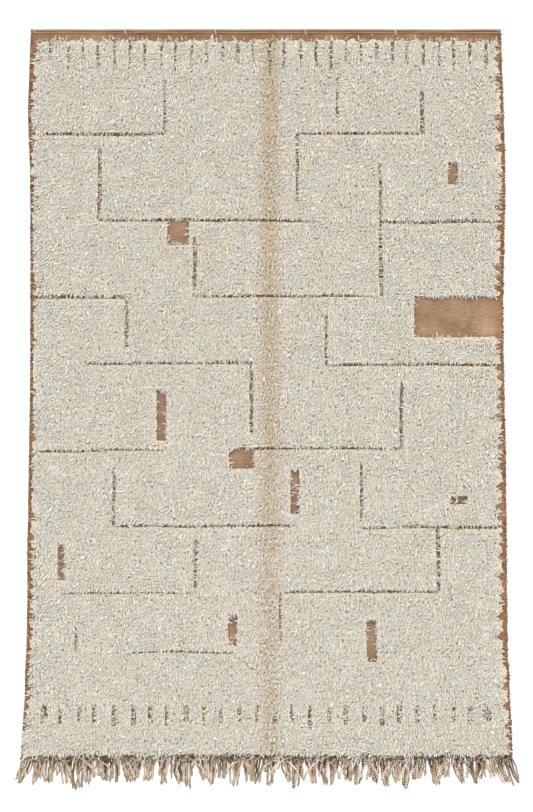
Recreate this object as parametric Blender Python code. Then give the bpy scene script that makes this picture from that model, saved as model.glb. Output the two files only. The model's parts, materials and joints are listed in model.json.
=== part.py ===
"""Beni Ourain rug, laid flat: a brown flat-woven ground, a cream wool pile knotted on it in
blocks with bare furrows between them, two twined cords along the closed end, and the warp
ends left loose as a fringe at the other end.

Metres, +Z up. X runs across the rug and Y along it, with the closed end at +Y. The origin is
on the floor, under the middle of the rug and its fringe. "Down" is the distance from the
closed end towards the fringe, as the rug is seen with that end at the top.
"""

import math
from collections import namedtuple

import bmesh
import bpy
from mathutils import Vector, noise

# Driving dimensions
RUG_WIDTH = 1.990           # at mid-length; EDGES gives it everywhere
WOVEN_LENGTH = 3.055        # closed end to the foot of the ground weave
LONGEST_STRAND = 0.166      # fringe past its strip
STRIP_DEPTH = 0.012         # woven strip that holds the roots of the fringe
STRIP_GAP = 0.0010          # between the ground weave and that strip
TOP_Y = (WOVEN_LENGTH + STRIP_GAP + STRIP_DEPTH + LONGEST_STRAND) / 2

GROUND_THICKNESS = 0.0032
CLEARANCE = 0.0003          # between pieces that rest on each other
PILE_BASE = GROUND_THICKNESS + CLEARANCE
PILE_DEPTH = 0.0205         # mean depth of the knotted wool
LUMP_HEIGHT = 0.0042        # rise and fall of the pile's surface
CREASE_DEPTH = 0.0022       # trough left along the middle by folding
CREASE_WIDTH = 0.060
CREASE_X = 0.014
PILE_START = 0.040          # closed end to the first row of knots
PILE_END_INSET = 0.004      # last row of knots to the foot of the ground

# The rug's two long edges, and the strip of bare ground outside the pile beside each.
Edge = namedtuple("Edge", "down left right bare_left bare_right")
EDGES = (
    Edge(0.000, -0.989, 0.983, 0.034, 0.018),
    Edge(0.130, -0.995, 0.987, 0.024, 0.018),
    Edge(0.340, -1.002, 0.996, 0.018, 0.020),
    Edge(0.650, -0.992, 1.002, 0.012, 0.019),
    Edge(1.140, -0.991, 0.993, 0.017, 0.020),
    Edge(1.560, -0.993, 0.998, 0.016, 0.018),
    Edge(1.770, -0.998, 1.004, 0.019, 0.021),
    Edge(2.230, -1.004, 1.008, 0.020, 0.024),
    Edge(2.540, -1.006, 1.010, 0.019, 0.023),
    Edge(2.755, -1.015, 1.021, 0.014, 0.017),
    Edge(3.060, -1.030, 1.031, 0.006, 0.006),
)

EDGE_STEP = 0.085           # spacing of the outline's points
EDGE_UNEVENNESS = 0.0012

# Furrows left without knots, a row for each: it starts at (x, down) and runs across the rug
# or along it. The blocks between them are coursed like stone, with their joints staggered.
Furrow = namedtuple("Furrow", "way x down length width")
FURROWS = (
    Furrow("across", -1.000, 0.440, 0.575, 0.011),
    Furrow("across", 0.130, 0.436, 0.520, 0.010),
    Furrow("across", -0.700, 0.800, 0.900, 0.010),
    Furrow("across", 0.480, 0.806, 0.510, 0.012),
    Furrow("across", -0.990, 1.122, 0.405, 0.016),
    Furrow("across", -0.300, 1.116, 0.780, 0.009),
    Furrow("across", -0.760, 1.400, 0.700, 0.010),
    Furrow("across", 0.250, 1.406, 0.755, 0.010),
    Furrow("across", -1.000, 1.764, 0.560, 0.009),
    Furrow("across", -0.120, 1.756, 0.690, 0.009),
    Furrow("across", -0.640, 2.080, 0.760, 0.009),
    Furrow("across", 0.400, 2.086, 0.612, 0.011),
    Furrow("across", -0.860, 2.362, 0.560, 0.008),
    Furrow("across", 0.060, 2.356, 0.660, 0.009),
    Furrow("across", -0.560, 2.610, 0.420, 0.007),
    Furrow("along", -0.425, 0.215, 0.225, 0.010),
    Furrow("along", 0.300, 0.200, 0.170, 0.009),
    Furrow("along", 0.650, 0.250, 0.190, 0.013),
    Furrow("along", -0.700, 0.500, 0.300, 0.012),
    Furrow("along", 0.130, 0.436, 0.290, 0.010),
    Furrow("along", 0.480, 0.560, 0.246, 0.010),
    Furrow("along", -0.300, 0.870, 0.250, 0.012),
    Furrow("along", 0.480, 0.806, 0.310, 0.011),
    Furrow("along", -0.585, 1.122, 0.210, 0.012),
    Furrow("along", 0.250, 1.190, 0.216, 0.009),
    Furrow("along", -0.060, 1.400, 0.290, 0.012),
    Furrow("along", 0.570, 1.470, 0.286, 0.010),
    Furrow("along", -0.640, 1.840, 0.240, 0.012),
    Furrow("along", 0.400, 1.820, 0.266, 0.010),
    Furrow("along", -0.300, 2.140, 0.222, 0.012),
    Furrow("along", 0.720, 2.086, 0.270, 0.013),
    Furrow("along", 0.060, 2.356, 0.210, 0.009),
    Furrow("along", -0.440, 1.510, 0.215, 0.036),
    Furrow("along", 0.120, 1.850, 0.180, 0.034),
    Furrow("along", -0.860, 2.160, 0.150, 0.030),
    Furrow("along", -0.140, 2.450, 0.130, 0.032),
    Furrow("along", 0.440, 2.480, 0.170, 0.038),
    Furrow("along", -0.800, 2.500, 0.110, 0.010),
)

# Bare patches of ground, from their corner nearest the closed end and the left edge.
Patch = namedtuple("Patch", "x down width length")
PATCHES = (
    Patch(0.620, 1.120, 0.380, 0.170),
    Patch(-0.415, 0.800, 0.090, 0.105),
    Patch(-0.155, 1.756, 0.105, 0.085),
    Patch(0.760, 0.560, 0.040, 0.090),
    Patch(0.770, 1.960, 0.070, 0.032),
)

# Short ticks in a row across each end: comb teeth in the pile's first rows at the closed
# end, and floating dashes above the fringe.
TickRow = namedtuple("TickRow", "count first last down length width")
TICK_ROWS = (
    TickRow(29, -0.897, 0.918, 0.020, 0.136, 0.009),
    TickRow(26, -0.939, 0.935, 2.834, 0.075, 0.014),
)

# Pile slab
CELL = 0.084                # spacing of the points that shape its surface
LOCKS_PER_CELL = 2          # locks of wool along one cell of the rim
LOCK_REACH = 0.013
LOCK_TIP_RISE = 0.007       # height of a lock's tip above the slab's base
RIM_DROP = 0.0050           # the pile rounds down at its rim
RIM_RAGGEDNESS = 0.0030     # in and out of the rim's upper edge
BASE_TUCK = 0.4             # underside drawn in from the rim, as a share of a lock's reach

# Cuts through the pile
CUT_STEP = 0.082            # spacing of the ragged points along a furrow
CUT_RAGGEDNESS = 0.0022
CUT_WANDER = 0.004
CUT_BOTTOM = 0.0010
CUT_TOP = 0.0400
TICK_SHIFT = 0.005
TICK_UNEVENNESS = 0.25

# Fringe
STRANDS = 200                 # each has three sides, with a ridge along its top
STRANDS_PER_BUNCH = 5
STRAND_WIDTH = 0.0052
STRAND_HEIGHT = 0.0046
SHORTEST_STRAND = 0.088
BUNCH_CLOSING = 0.60        # a bunch's width at its tips, as a share of that at its roots
CORNER_SPREAD = 0.040       # the outermost bunches splay past the rug's edge
LONG_BUNCH_EVERY = 9        # one bunch in nine hangs well past the rest
LONG_BUNCH_FIRST = 4
STRIP_WAVE = 0.0006

# Twined end cords
CORD_DIAMETER = 0.0072
CORD_INSETS = {"end_cord_outer": 0.0042, "end_cord_inner": 0.0126}
CORD_POINTS = 12

SRGB_CREAM = (0.86, 0.82, 0.74)
SRGB_BROWN = (0.67, 0.52, 0.39)
SRGB_BEIGE = (0.78, 0.70, 0.60)
SRGB_GREY_BROWN = (0.60, 0.50, 0.42)


def clear_scene():
    for ob in list(bpy.data.objects):
        bpy.data.objects.remove(ob, do_unlink=True)


def wool(name, srgb, roughness):
    """A Principled material from an sRGB colour; nothing here is metal."""
    mat = bpy.data.materials.new(name)
    mat.use_nodes = True
    bsdf = mat.node_tree.nodes["Principled BSDF"]
    bsdf.inputs["Base Color"].default_value = (*(c ** 2.2 for c in srgb), 1.0)
    bsdf.inputs["Roughness"].default_value = roughness
    bsdf.inputs["Metallic"].default_value = 0.0
    return mat


def wobble(x, y=0.0, seed=0.0):
    """Smooth repeatable unevenness between about -1 and 1."""
    return 1.6 * noise.noise(Vector((x, y, 7.3 + 11.1 * seed)))


def edge_at(down):
    """The row of EDGES at any distance down, eased between its rows."""
    down = min(max(down, EDGES[0].down), EDGES[-1].down)
    for upper, lower in zip(EDGES, EDGES[1:]):
        if down <= lower.down:
            t = (down - upper.down) / (lower.down - upper.down)
            t = t * t * (3 - 2 * t)
            return Edge(*(a + (b - a) * t for a, b in zip(upper, lower)))
    return EDGES[-1]


def head(x):
    """How far the closed end dips below its corners at x."""
    return 0.0016 + 0.0016 * wobble(2.1 * x, seed=1)


def foot(x):
    """Distance down to the foot of the ground weave at x."""
    return WOVEN_LENGTH - 0.004 + 0.004 * wobble(1.7 * x, seed=2)


def spread(low, high, step):
    """Evenly spaced values from low to high, at most a step apart."""
    count = max(1, math.ceil((high - low) / step))
    return [low + (high - low) * i / count for i in range(count + 1)]


def plate(name, outline, bottom, top, collection):
    """A closed flat outline, extruded from bottom to top, as a mesh object."""
    curve = bpy.data.curves.new(name, "CURVE")
    curve.dimensions = "2D"
    curve.fill_mode = "BOTH"
    curve.extrude = (top - bottom) / 2
    spline = curve.splines.new("POLY")
    spline.points.add(len(outline) - 1)
    for point, (x, y) in zip(spline.points, outline):
        point.co = (x, y, 0.0, 1.0)
    spline.use_cyclic_u = True
    drawn = bpy.data.objects.new(name + "_outline", curve)
    collection.objects.link(drawn)
    bpy.context.view_layer.update()
    mesh = bpy.data.meshes.new_from_object(drawn.evaluated_get(
        bpy.context.evaluated_depsgraph_get()))
    bpy.data.objects.remove(drawn, do_unlink=True)
    bm = bmesh.new()
    bm.from_mesh(mesh)
    bmesh.ops.remove_doubles(bm, verts=bm.verts, dist=1e-6)
    bmesh.ops.translate(bm, verts=bm.verts, vec=(0.0, 0.0, (top + bottom) / 2))
    bmesh.ops.recalc_face_normals(bm, faces=bm.faces)
    bm.to_mesh(mesh)
    bm.free()
    mesh.name = name
    ob = bpy.data.objects.new(name, mesh)
    collection.objects.link(ob)
    return ob


# Ground weave

def ground_outline():
    """Round the woven cloth: closed end, right edge, foot, left edge."""
    left_top, right_top = EDGES[0].left, EDGES[0].right
    left_foot, right_foot = EDGES[-1].left, EDGES[-1].right
    sides = spread(EDGE_STEP, WOVEN_LENGTH - EDGE_STEP, EDGE_STEP)
    points = [(x, TOP_Y - head(x)) for x in spread(left_top, right_top, EDGE_STEP)]
    points += [(edge_at(d).right + EDGE_UNEVENNESS * wobble(23 * d, seed=3), TOP_Y - d)
               for d in sides]
    points += [(x, TOP_Y - foot(x))
               for x in reversed(spread(left_foot, right_foot, EDGE_STEP))]
    points += [(edge_at(d).left + EDGE_UNEVENNESS * wobble(23 * d, seed=4), TOP_Y - d)
               for d in reversed(sides)]
    return points


def build_ground(collection):
    ob = plate("ground_weave", ground_outline(), 0.0, GROUND_THICKNESS, collection)
    ob.data.materials.append(wool("brown_wool_flatweave", SRGB_BROWN, 0.9))


# Pile

def pile_surface(x, down):
    """Height of the pile's top: soft lumps, and a trough along the middle fold."""
    lumps = (0.55 * wobble(6.5 * x, 6.5 * down, 5) + 0.35 * wobble(17 * x, 15 * down, 6)
             + 0.25 * wobble(40 * x, 40 * down, 8))
    crease = math.exp(-((x - CREASE_X) / CREASE_WIDTH) ** 2)
    return PILE_BASE + PILE_DEPTH + LUMP_HEIGHT * lumps - CREASE_DEPTH * crease


def pile_point(u, v):
    """Plan position of the pile at u across and v down, each from 0 to 1."""
    nominal = PILE_START + (WOVEN_LENGTH - PILE_START) * v
    edge = edge_at(nominal)
    left = edge.left + edge.bare_left
    right = edge.right - edge.bare_right
    x = left + (right - left) * u
    first = PILE_START + 0.006 * wobble(9 * x, seed=9)
    last = foot(x) - PILE_END_INSET
    return x, first + (last - first) * v


def new_verts(result):
    return [item for item in result["geom"] if isinstance(item, bmesh.types.BMVert)]


def slab_mesh(name):
    """The lumpy slab as a mesh: a grid, a ring of locks round its rim and a flat underside,
    all made in a unit square and then laid in the rug's outline."""
    columns = round(RUG_WIDTH / CELL)
    rows = round(WOVEN_LENGTH / CELL)
    cuts = 2 * LOCKS_PER_CELL - 1
    bm = bmesh.new()
    bmesh.ops.create_grid(bm, x_segments=columns, y_segments=rows, size=0.5)
    bmesh.ops.subdivide_edges(bm, edges=[e for e in bm.edges if e.is_boundary], cuts=cuts)
    rim = {v for v in bm.verts if v.is_boundary}
    rim_edges = [e for e in bm.edges if e.is_boundary]
    ring = new_verts(bmesh.ops.extrude_edge_only(bm, edges=rim_edges))
    ring_edges = [e for e in bm.edges if e.is_boundary]
    base = new_verts(bmesh.ops.extrude_edge_only(bm, edges=ring_edges))
    bmesh.ops.contextual_create(bm, geom=[e for e in bm.edges if e.is_boundary])

    ring, base = set(ring), set(base)
    for v in bm.verts:
        across, along = v.co.x, v.co.y
        x, down = pile_point(across + 0.5, 0.5 - along)
        outward = Vector((side_of(across), side_of(along), 0.0))
        v.co = (x, TOP_Y - down, pile_surface(x, down))
        if v in ring:
            steps = round((across + 0.5) * columns * (cuts + 1)
                          + (along + 0.5) * rows * (cuts + 1))
            v.co += outward * lock_reach(x, down, is_tip=steps % 2 == 1)
            v.co.z = PILE_BASE + LOCK_TIP_RISE
        elif v in base:
            v.co -= outward * LOCK_REACH * BASE_TUCK
            v.co.z = PILE_BASE
        elif v in rim:
            v.co += outward * RIM_RAGGEDNESS * wobble(70 * x, 70 * down, 11)
            v.co.z -= RIM_DROP
    bmesh.ops.recalc_face_normals(bm, faces=bm.faces)
    bmesh.ops.triangulate(bm, faces=bm.faces)
    mesh = bpy.data.meshes.new(name)
    bm.to_mesh(mesh)
    bm.free()
    return mesh


def side_of(unit):
    """-1, 0 or 1: whether a unit-square coordinate lies on the low rim, inside, or high."""
    if abs(unit) < 0.4999:
        return 0.0
    return math.copysign(1.0, unit)


def lock_reach(x, down, is_tip):
    """How far a lock's tip stands out past the slab, or the notch between two draws in."""
    if is_tip:
        return LOCK_REACH * (0.65 + 0.35 * wobble(60 * x, 60 * down, 10))
    return -0.25 * LOCK_REACH


def cutter_outline(x, down, width, length, seed):
    """A bare strip or patch, with ragged sides where the knots beside it are uneven."""
    def jag(a, b, offset):
        return CUT_RAGGEDNESS * wobble(310 * a, 310 * b, seed + offset)

    if width >= length:
        steps = spread(x, x + width, CUT_STEP)
        drift = [CUT_WANDER * wobble(4 * a, 0, seed) for a in steps]
        upper = [(a, down + d + jag(a, 0, 0.3)) for a, d in zip(steps, drift)]
        lower = [(a, down + d + length + jag(a, 0, 0.6)) for a, d in zip(steps, drift)]
    else:
        steps = spread(down, down + length, CUT_STEP)
        drift = [CUT_WANDER * wobble(4 * b, 0, seed) for b in steps]
        upper = [(x + d + jag(0, b, 0.3), b) for b, d in zip(steps, drift)]
        lower = [(x + d + width + jag(0, b, 0.6), b) for b, d in zip(steps, drift)]
    return [(a, TOP_Y - b) for a, b in upper + lower[::-1]]


def bare_areas():
    """Every furrow, patch and tick as x, down, width and length."""
    areas = [(p.x, p.down, p.width, p.length) for p in PATCHES]
    for f in FURROWS:
        if f.way == "across":
            areas.append((f.x, f.down - f.width / 2, f.length, f.width))
        else:
            areas.append((f.x - f.width / 2, f.down, f.width, f.length))
    for row, ticks in enumerate(TICK_ROWS):
        for i in range(ticks.count):
            x = ticks.first + (ticks.last - ticks.first) * i / (ticks.count - 1)
            x += TICK_SHIFT * wobble(i * 0.9, row, 12)
            stretch = 1.0 + TICK_UNEVENNESS * wobble(i * 1.7, row, 13)
            width = ticks.width * (1.0 + TICK_UNEVENNESS * wobble(i * 2.3, row, 14))
            areas.append((x - width / 2, ticks.down, width, ticks.length * stretch))
    return areas


def build_pile(collection, cutters):
    mesh = slab_mesh("pile")
    ob = bpy.data.objects.new("pile", mesh)
    collection.objects.link(ob)
    for i, (x, down, width, length) in enumerate(bare_areas()):
        cutter = plate(f"bare_{i:02d}", cutter_outline(x, down, width, length, i),
                       CUT_BOTTOM, CUT_TOP, cutters)
        cutter.hide_render = True
        cutter.display_type = "WIRE"
    bare = ob.modifiers.new("bare_areas", "BOOLEAN")
    bare.operation = "DIFFERENCE"
    bare.operand_type = "COLLECTION"
    bare.collection = cutters
    bare.solver = "EXACT"
    mesh.materials.append(wool("cream_wool_pile", SRGB_CREAM, 0.95))


# End cords

def build_end_cords(collection):
    mat = wool("twined_warp_cord", SRGB_GREY_BROWN, 0.9)
    for name, inset in CORD_INSETS.items():
        curve = bpy.data.curves.new(name, "CURVE")
        curve.dimensions = "3D"
        curve.bevel_depth = CORD_DIAMETER / 2
        curve.bevel_resolution = 2
        curve.use_fill_caps = True
        spline = curve.splines.new("POLY")
        spline.points.add(CORD_POINTS - 1)
        left = EDGES[0].left + CORD_DIAMETER / 2
        right = EDGES[0].right - CORD_DIAMETER / 2
        for i, point in enumerate(spline.points):
            x = left + (right - left) * i / (CORD_POINTS - 1)
            point.co = (x, TOP_Y - head(x) - inset, PILE_BASE + CORD_DIAMETER / 2, 1.0)
        curve.materials.append(mat)
        collection.objects.link(bpy.data.objects.new(name, curve))


# Fringe

def strand_length(i):
    """Most strands are near the middle of the range, and a few reach the longest."""
    bunch = i // STRANDS_PER_BUNCH
    share = 0.36 + 0.22 * wobble(0.9 * bunch, seed=20) + 0.12 * wobble(1.9 * i, seed=21)
    if bunch % LONG_BUNCH_EVERY == LONG_BUNCH_FIRST:
        share += 0.42
    return SHORTEST_STRAND + (LONGEST_STRAND - SHORTEST_STRAND) * min(max(share, 0.0), 1.0)


def strand_path(root, bunch_x, bunch, length, side_reach):
    """Stations of one strand as (x, distance past the strip, width, height)."""
    lean = 0.013 * wobble(0.45 * bunch, seed=22) + CORNER_SPREAD * side_reach
    bend = 0.0030 * wobble(0.8 * bunch, seed=23)
    stations = []
    for share, width, height in ((0.30, 1.0, 1.0), (0.68, 0.92, 0.95), (1.0, 0.62, 0.60)):
        closing = 1.0 + (BUNCH_CLOSING - 1.0) * share
        x = bunch_x + (root - bunch_x) * closing + lean * share ** 1.4
        x += bend * math.sin(math.pi * share)
        stations.append((x, length * share, STRAND_WIDTH * width, STRAND_HEIGHT * height))
    return stations


def build_fringe(collection):
    """A narrow strip along the foot, each second face of its front drawn out to a strand."""
    left = EDGES[-1].left + 0.002
    right = EDGES[-1].right - 0.002
    pitch = (right - left) / STRANDS
    roots = [left + pitch * (i + 0.5) for i in range(STRANDS)]

    def back_y(x):
        return TOP_Y - foot(x) - STRIP_GAP

    fronts = []
    for root in roots:
        for side in (-0.5, 0.5):
            x = root + side * STRAND_WIDTH
            fronts.append((x, back_y(x) - STRIP_DEPTH + STRIP_WAVE * wobble(90 * x, seed=24)))
    backs = [(x, back_y(x)) for x in reversed(spread(left, right, EDGE_STEP))]

    bm = bmesh.new()
    outline = [bm.verts.new((x, y, 0.0)) for x, y in fronts + backs]
    sheet = bm.faces.new(outline)
    raised = bmesh.ops.extrude_face_region(bm, geom=[sheet], use_keep_orig=True)
    bmesh.ops.translate(bm, verts=new_verts(raised), vec=(0.0, 0.0, STRAND_HEIGHT))

    bm.edges.ensure_lookup_table()
    starts = {}
    for face in bm.faces:
        if len(face.verts) == 4:
            starts[round(face.calc_center_median().x, 5)] = face
    for i, root in enumerate(roots):
        face = starts[round(sum(f[0] for f in fronts[2 * i:2 * i + 2]) / 2, 5)]
        bunch = i // STRANDS_PER_BUNCH
        members = roots[bunch * STRANDS_PER_BUNCH:(bunch + 1) * STRANDS_PER_BUNCH]
        bunch_x = sum(members) / len(members)
        side_reach = math.copysign(abs(bunch_x / right) ** 9, bunch_x)
        for x, past, width, height in strand_path(root, bunch_x, bunch, strand_length(i),
                                                   side_reach):
            face = bmesh.ops.extrude_discrete_faces(bm, faces=[face])["faces"][0]
            middle = face.calc_center_median()
            y = back_y(root) - STRIP_DEPTH - past
            for v in face.verts:
                side = math.copysign(width / 2, v.co.x - middle.x)
                v.co = (x, y, height) if v.co.z > middle.z else (x + side, y, 0.0)
    bmesh.ops.remove_doubles(bm, verts=bm.verts, dist=1e-6)
    bmesh.ops.recalc_face_normals(bm, faces=bm.faces)
    mesh = bpy.data.meshes.new("fringe")
    bm.to_mesh(mesh)
    bm.free()
    mesh.materials.append(wool("beige_warp_ends", SRGB_BEIGE, 0.9))
    collection.objects.link(bpy.data.objects.new("fringe", mesh))


def main():
    clear_scene()
    rug = bpy.data.collections.new("beni_ourain_rug")
    cutters = bpy.data.collections.new("cutters")
    bpy.context.scene.collection.children.link(rug)
    bpy.context.scene.collection.children.link(cutters)
    build_ground(rug)
    build_pile(rug, cutters)
    build_end_cords(rug)
    build_fringe(rug)


main()
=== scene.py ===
"""Looks of a Beni Ourain rug: brown flatweave, cream wool shag, twined end cords, fringe."""

import json
import math

import bmesh
import bpy
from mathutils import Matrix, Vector, noise
from mathutils.kdtree import KDTree

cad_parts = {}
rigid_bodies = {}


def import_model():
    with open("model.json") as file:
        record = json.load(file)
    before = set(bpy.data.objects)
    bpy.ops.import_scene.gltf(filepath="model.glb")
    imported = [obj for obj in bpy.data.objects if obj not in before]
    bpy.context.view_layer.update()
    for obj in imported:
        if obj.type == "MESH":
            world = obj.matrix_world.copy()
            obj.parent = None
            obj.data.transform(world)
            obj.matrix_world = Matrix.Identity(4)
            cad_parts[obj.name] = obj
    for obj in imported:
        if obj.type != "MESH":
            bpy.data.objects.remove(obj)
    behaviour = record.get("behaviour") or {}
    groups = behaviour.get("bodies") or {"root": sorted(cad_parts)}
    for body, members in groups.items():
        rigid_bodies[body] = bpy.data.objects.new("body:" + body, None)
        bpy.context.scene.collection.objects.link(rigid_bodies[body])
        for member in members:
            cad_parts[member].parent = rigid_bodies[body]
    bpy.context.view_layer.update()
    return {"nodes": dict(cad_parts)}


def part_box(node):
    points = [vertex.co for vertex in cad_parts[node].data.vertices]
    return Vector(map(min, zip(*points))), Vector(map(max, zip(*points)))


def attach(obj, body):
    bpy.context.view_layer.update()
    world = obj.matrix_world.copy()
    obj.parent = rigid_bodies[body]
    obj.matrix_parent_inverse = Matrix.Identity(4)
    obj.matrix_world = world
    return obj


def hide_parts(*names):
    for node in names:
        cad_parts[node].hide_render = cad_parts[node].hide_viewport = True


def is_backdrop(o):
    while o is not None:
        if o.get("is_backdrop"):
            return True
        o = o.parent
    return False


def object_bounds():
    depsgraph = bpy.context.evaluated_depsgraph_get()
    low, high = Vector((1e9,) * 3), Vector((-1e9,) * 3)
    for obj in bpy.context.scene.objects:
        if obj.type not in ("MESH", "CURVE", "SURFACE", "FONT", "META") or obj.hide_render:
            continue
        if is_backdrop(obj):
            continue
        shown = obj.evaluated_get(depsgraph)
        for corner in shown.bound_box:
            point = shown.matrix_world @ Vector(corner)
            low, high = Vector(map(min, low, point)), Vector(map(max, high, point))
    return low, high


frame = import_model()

# --- Ground weave -----------------------------------------------------------------------
# The cloth that carries the knots: hand-spun brown wool woven plain, its wefts beaten down
# into ribs that run across the rug. Handling has left it browner and more open at its sides.

MM = 0.001
WEFT_RIB = 7.2 * MM           # two wefts to a rib: single ones are too fine to show
YARN_STREAK = 24 * MM         # length over which one yarn keeps its colour
DYE_CLOUD = 111 * MM          # from one paler place of the uneven dye to the next
GROUND_TINTS = [(0.32, "5C4029"), (0.44, "7F6247"), (0.56, "957A60"), (0.68, "B09A83")]
EDGE_TINTS = [(0.32, "4C2E18"), (0.44, "7A5435"), (0.56, "926C4B"), (0.68, "B09068")]
GROOVE_SHADE = "57381F"      # painted shade between two ribs
EDGE_STARTS = 0.925           # from the middle line to where the side strips turn browner
EDGE_FADE = 50 * MM           # and how far on they are wholly so
END_STARTS = 1.570            # the same towards the closed end
END_FADE = 20 * MM
FLECK_SPACING = 26 * MM       # from one stray fibre to the next
FLECK_REACH = (0.05, 0.11)    # where one starts to fade and ends, as shares of that
FLECKS_KEPT = 0.45
FLECK_TINTS = [(0.0, "DDD2BE"), (0.18, "DDD2BE"), (0.19, "4E3322"), (1.0, "4E3322")]


def srgb(hex_colour):
    """An sRGB hex colour as linear RGBA."""
    parts = [int(hex_colour[i:i + 2], 16) / 255 for i in (0, 2, 4)]
    linear = [c / 12.92 if c <= 0.04045 else ((c + 0.055) / 1.055) ** 2.4 for c in parts]
    return (*linear, 1.0)


def add(tree, kind, inputs=None, **settings):
    """Adds a node with its settings. An input is a value, a socket, or a node whose first
    output feeds it, and a list of stops is a colour ramp's own."""
    stops = settings.pop("stops", None)
    node = tree.nodes.new(kind)
    for name, value in settings.items():
        setattr(node, name, value)
    for key, value in (inputs or {}).items():
        if isinstance(value, bpy.types.Node):
            value = value.outputs[0]
        if isinstance(value, bpy.types.NodeSocket):
            tree.links.new(value, node.inputs[key])
        else:
            node.inputs[key].default_value = value
    if stops:
        elements = node.color_ramp.elements
        while len(elements) < len(stops):
            elements.new(0.5)
        for element, (position, colour) in zip(elements, stops):
            element.position = position
            element.color = srgb(colour)
    return node


def new_material(name):
    """A Principled material: itself, its tree and its shader."""
    mat = bpy.data.materials.new(name)
    mat.use_nodes = True
    return mat, mat.node_tree, mat.node_tree.nodes["Principled BSDF"]


def merged_copy(node_name):
    """A CAD node's solid with its loose triangles joined, as a bmesh."""
    bm = bmesh.new()
    bm.from_mesh(frame["nodes"][node_name].data)
    bmesh.ops.remove_doubles(bm, verts=bm.verts, dist=1e-6)
    return bm


def piece(name, mesh, material):
    """A new object at the origin with one material."""
    mesh.name = name
    mesh.materials.clear()
    mesh.materials.append(material)
    ob = bpy.data.objects.new(name, mesh)
    bpy.context.scene.collection.objects.link(ob)
    return ob


def flatweave():
    """Wool flatweave, hand spun and unevenly dyed: matte ribs in which paler and redder
    yarns run a little way, with stray cream and dark fibres caught in them, and painted
    shade in the grooves between the ribs."""
    mat, tree, shader = new_material("brown_wool_flatweave")
    place = add(tree, "ShaderNodeTexCoord").outputs["Object"]
    streak = add(tree, "ShaderNodeMapping", {"Vector": place,
                                             "Scale": (1 / YARN_STREAK, 2 / WEFT_RIB, 1.0)})
    yarn = add(tree, "ShaderNodeTexNoise", {"Vector": streak, "Scale": 1.0, "Detail": 3.0,
                                            "Roughness": 0.65})
    cloudy = add(tree, "ShaderNodeTexNoise", {"Vector": place, "Scale": 1 / DYE_CLOUD,
                                              "Detail": 4.0, "Roughness": 0.6})
    tone = add(tree, "ShaderNodeMix", {"Factor": 0.45, "A": yarn.outputs[0],
                                       "B": cloudy.outputs[0]})
    axes = add(tree, "ShaderNodeSeparateXYZ", {0: place})
    across = add(tree, "ShaderNodeMath", {0: axes}, operation="ABSOLUTE")
    side = add(tree, "ShaderNodeMapRange", {"Value": across, "From Min": EDGE_STARTS,
                                            "From Max": EDGE_STARTS + EDGE_FADE})
    end = add(tree, "ShaderNodeMapRange", {"Value": axes.outputs[1], "From Min": END_STARTS,
                                           "From Max": END_STARTS + END_FADE})
    rim = add(tree, "ShaderNodeMath", {0: side, 1: end}, operation="MAXIMUM")
    body = add(tree, "ShaderNodeValToRGB", {"Fac": tone.outputs[0]}, stops=GROUND_TINTS)
    browner = add(tree, "ShaderNodeValToRGB", {"Fac": tone.outputs[0]}, stops=EDGE_TINTS)
    colour = add(tree, "ShaderNodeMix", {"Factor": rim, "A": body, "B": browner},
                 data_type="RGBA").outputs["Result"]

    # Ribs, which waver and fade in and out
    ribs = add(tree, "ShaderNodeTexWave", {"Vector": place, "Scale": math.tau / (20 * WEFT_RIB),
                                           "Distortion": 2.2, "Detail": 2.0,
                                           "Detail Scale": 2.0, "Detail Roughness": 0.6},
               wave_type="BANDS", bands_direction="Y")
    # Painted shade in the grooves between the ribs, deeper at the browner sides and end
    clear = add(tree, "ShaderNodeMath", {0: rim, 1: 0.5, 2: 0.30}, operation="MULTIPLY_ADD")
    clear = add(tree, "ShaderNodeMath", {0: clear, 1: yarn.outputs[0]}, operation="MULTIPLY")
    groove_shade = add(tree, "ShaderNodeMapRange", {"Value": ribs.outputs["Fac"], "From Min": 0.0,
                                              "From Max": 0.6, "To Min": 1.0, "To Max": 0.0})
    groove_shade = add(tree, "ShaderNodeMath", {0: groove_shade, 1: clear}, operation="MULTIPLY")
    colour = add(tree, "ShaderNodeMix", {"Factor": groove_shade, "A": colour,
                                         "B": srgb(GROOVE_SHADE)},
                 data_type="RGBA").outputs["Result"]

    # Cream and dark flecks
    spots = add(tree, "ShaderNodeTexVoronoi", {"Vector": place, "Scale": 1 / FLECK_SPACING})
    fleck = add(tree, "ShaderNodeMapRange", {"Value": spots.outputs["Distance"],
                                             "From Min": FLECK_REACH[0],
                                             "From Max": FLECK_REACH[1],
                                             "To Min": 0.85, "To Max": 0.0})
    sort = add(tree, "ShaderNodeSeparateColor", {0: spots.outputs["Color"]})
    kind = add(tree, "ShaderNodeValToRGB", {"Fac": sort}, stops=FLECK_TINTS)
    few = add(tree, "ShaderNodeMath", {0: sort.outputs[1], 1: FLECKS_KEPT},
              operation="LESS_THAN")
    fleck = add(tree, "ShaderNodeMath", {0: fleck, 1: few}, operation="MULTIPLY")
    colour = add(tree, "ShaderNodeMix", {"Factor": fleck, "A": colour, "B": kind},
                 data_type="RGBA").outputs["Result"]
    relief = add(tree, "ShaderNodeMath", {0: yarn.outputs[0], 1: 0.5, 2: ribs.outputs["Fac"]},
                 operation="MULTIPLY_ADD")
    bump = add(tree, "ShaderNodeBump", {"Height": relief, "Distance": 1.0 * MM,
                                        "Strength": 0.7})
    tree.links.new(colour, shader.inputs["Base Color"])
    tree.links.new(bump.outputs[0], shader.inputs["Normal"])
    shader.inputs["Roughness"].default_value = 0.92
    shader.inputs["Sheen Weight"].default_value = 0.1
    return mat


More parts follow.
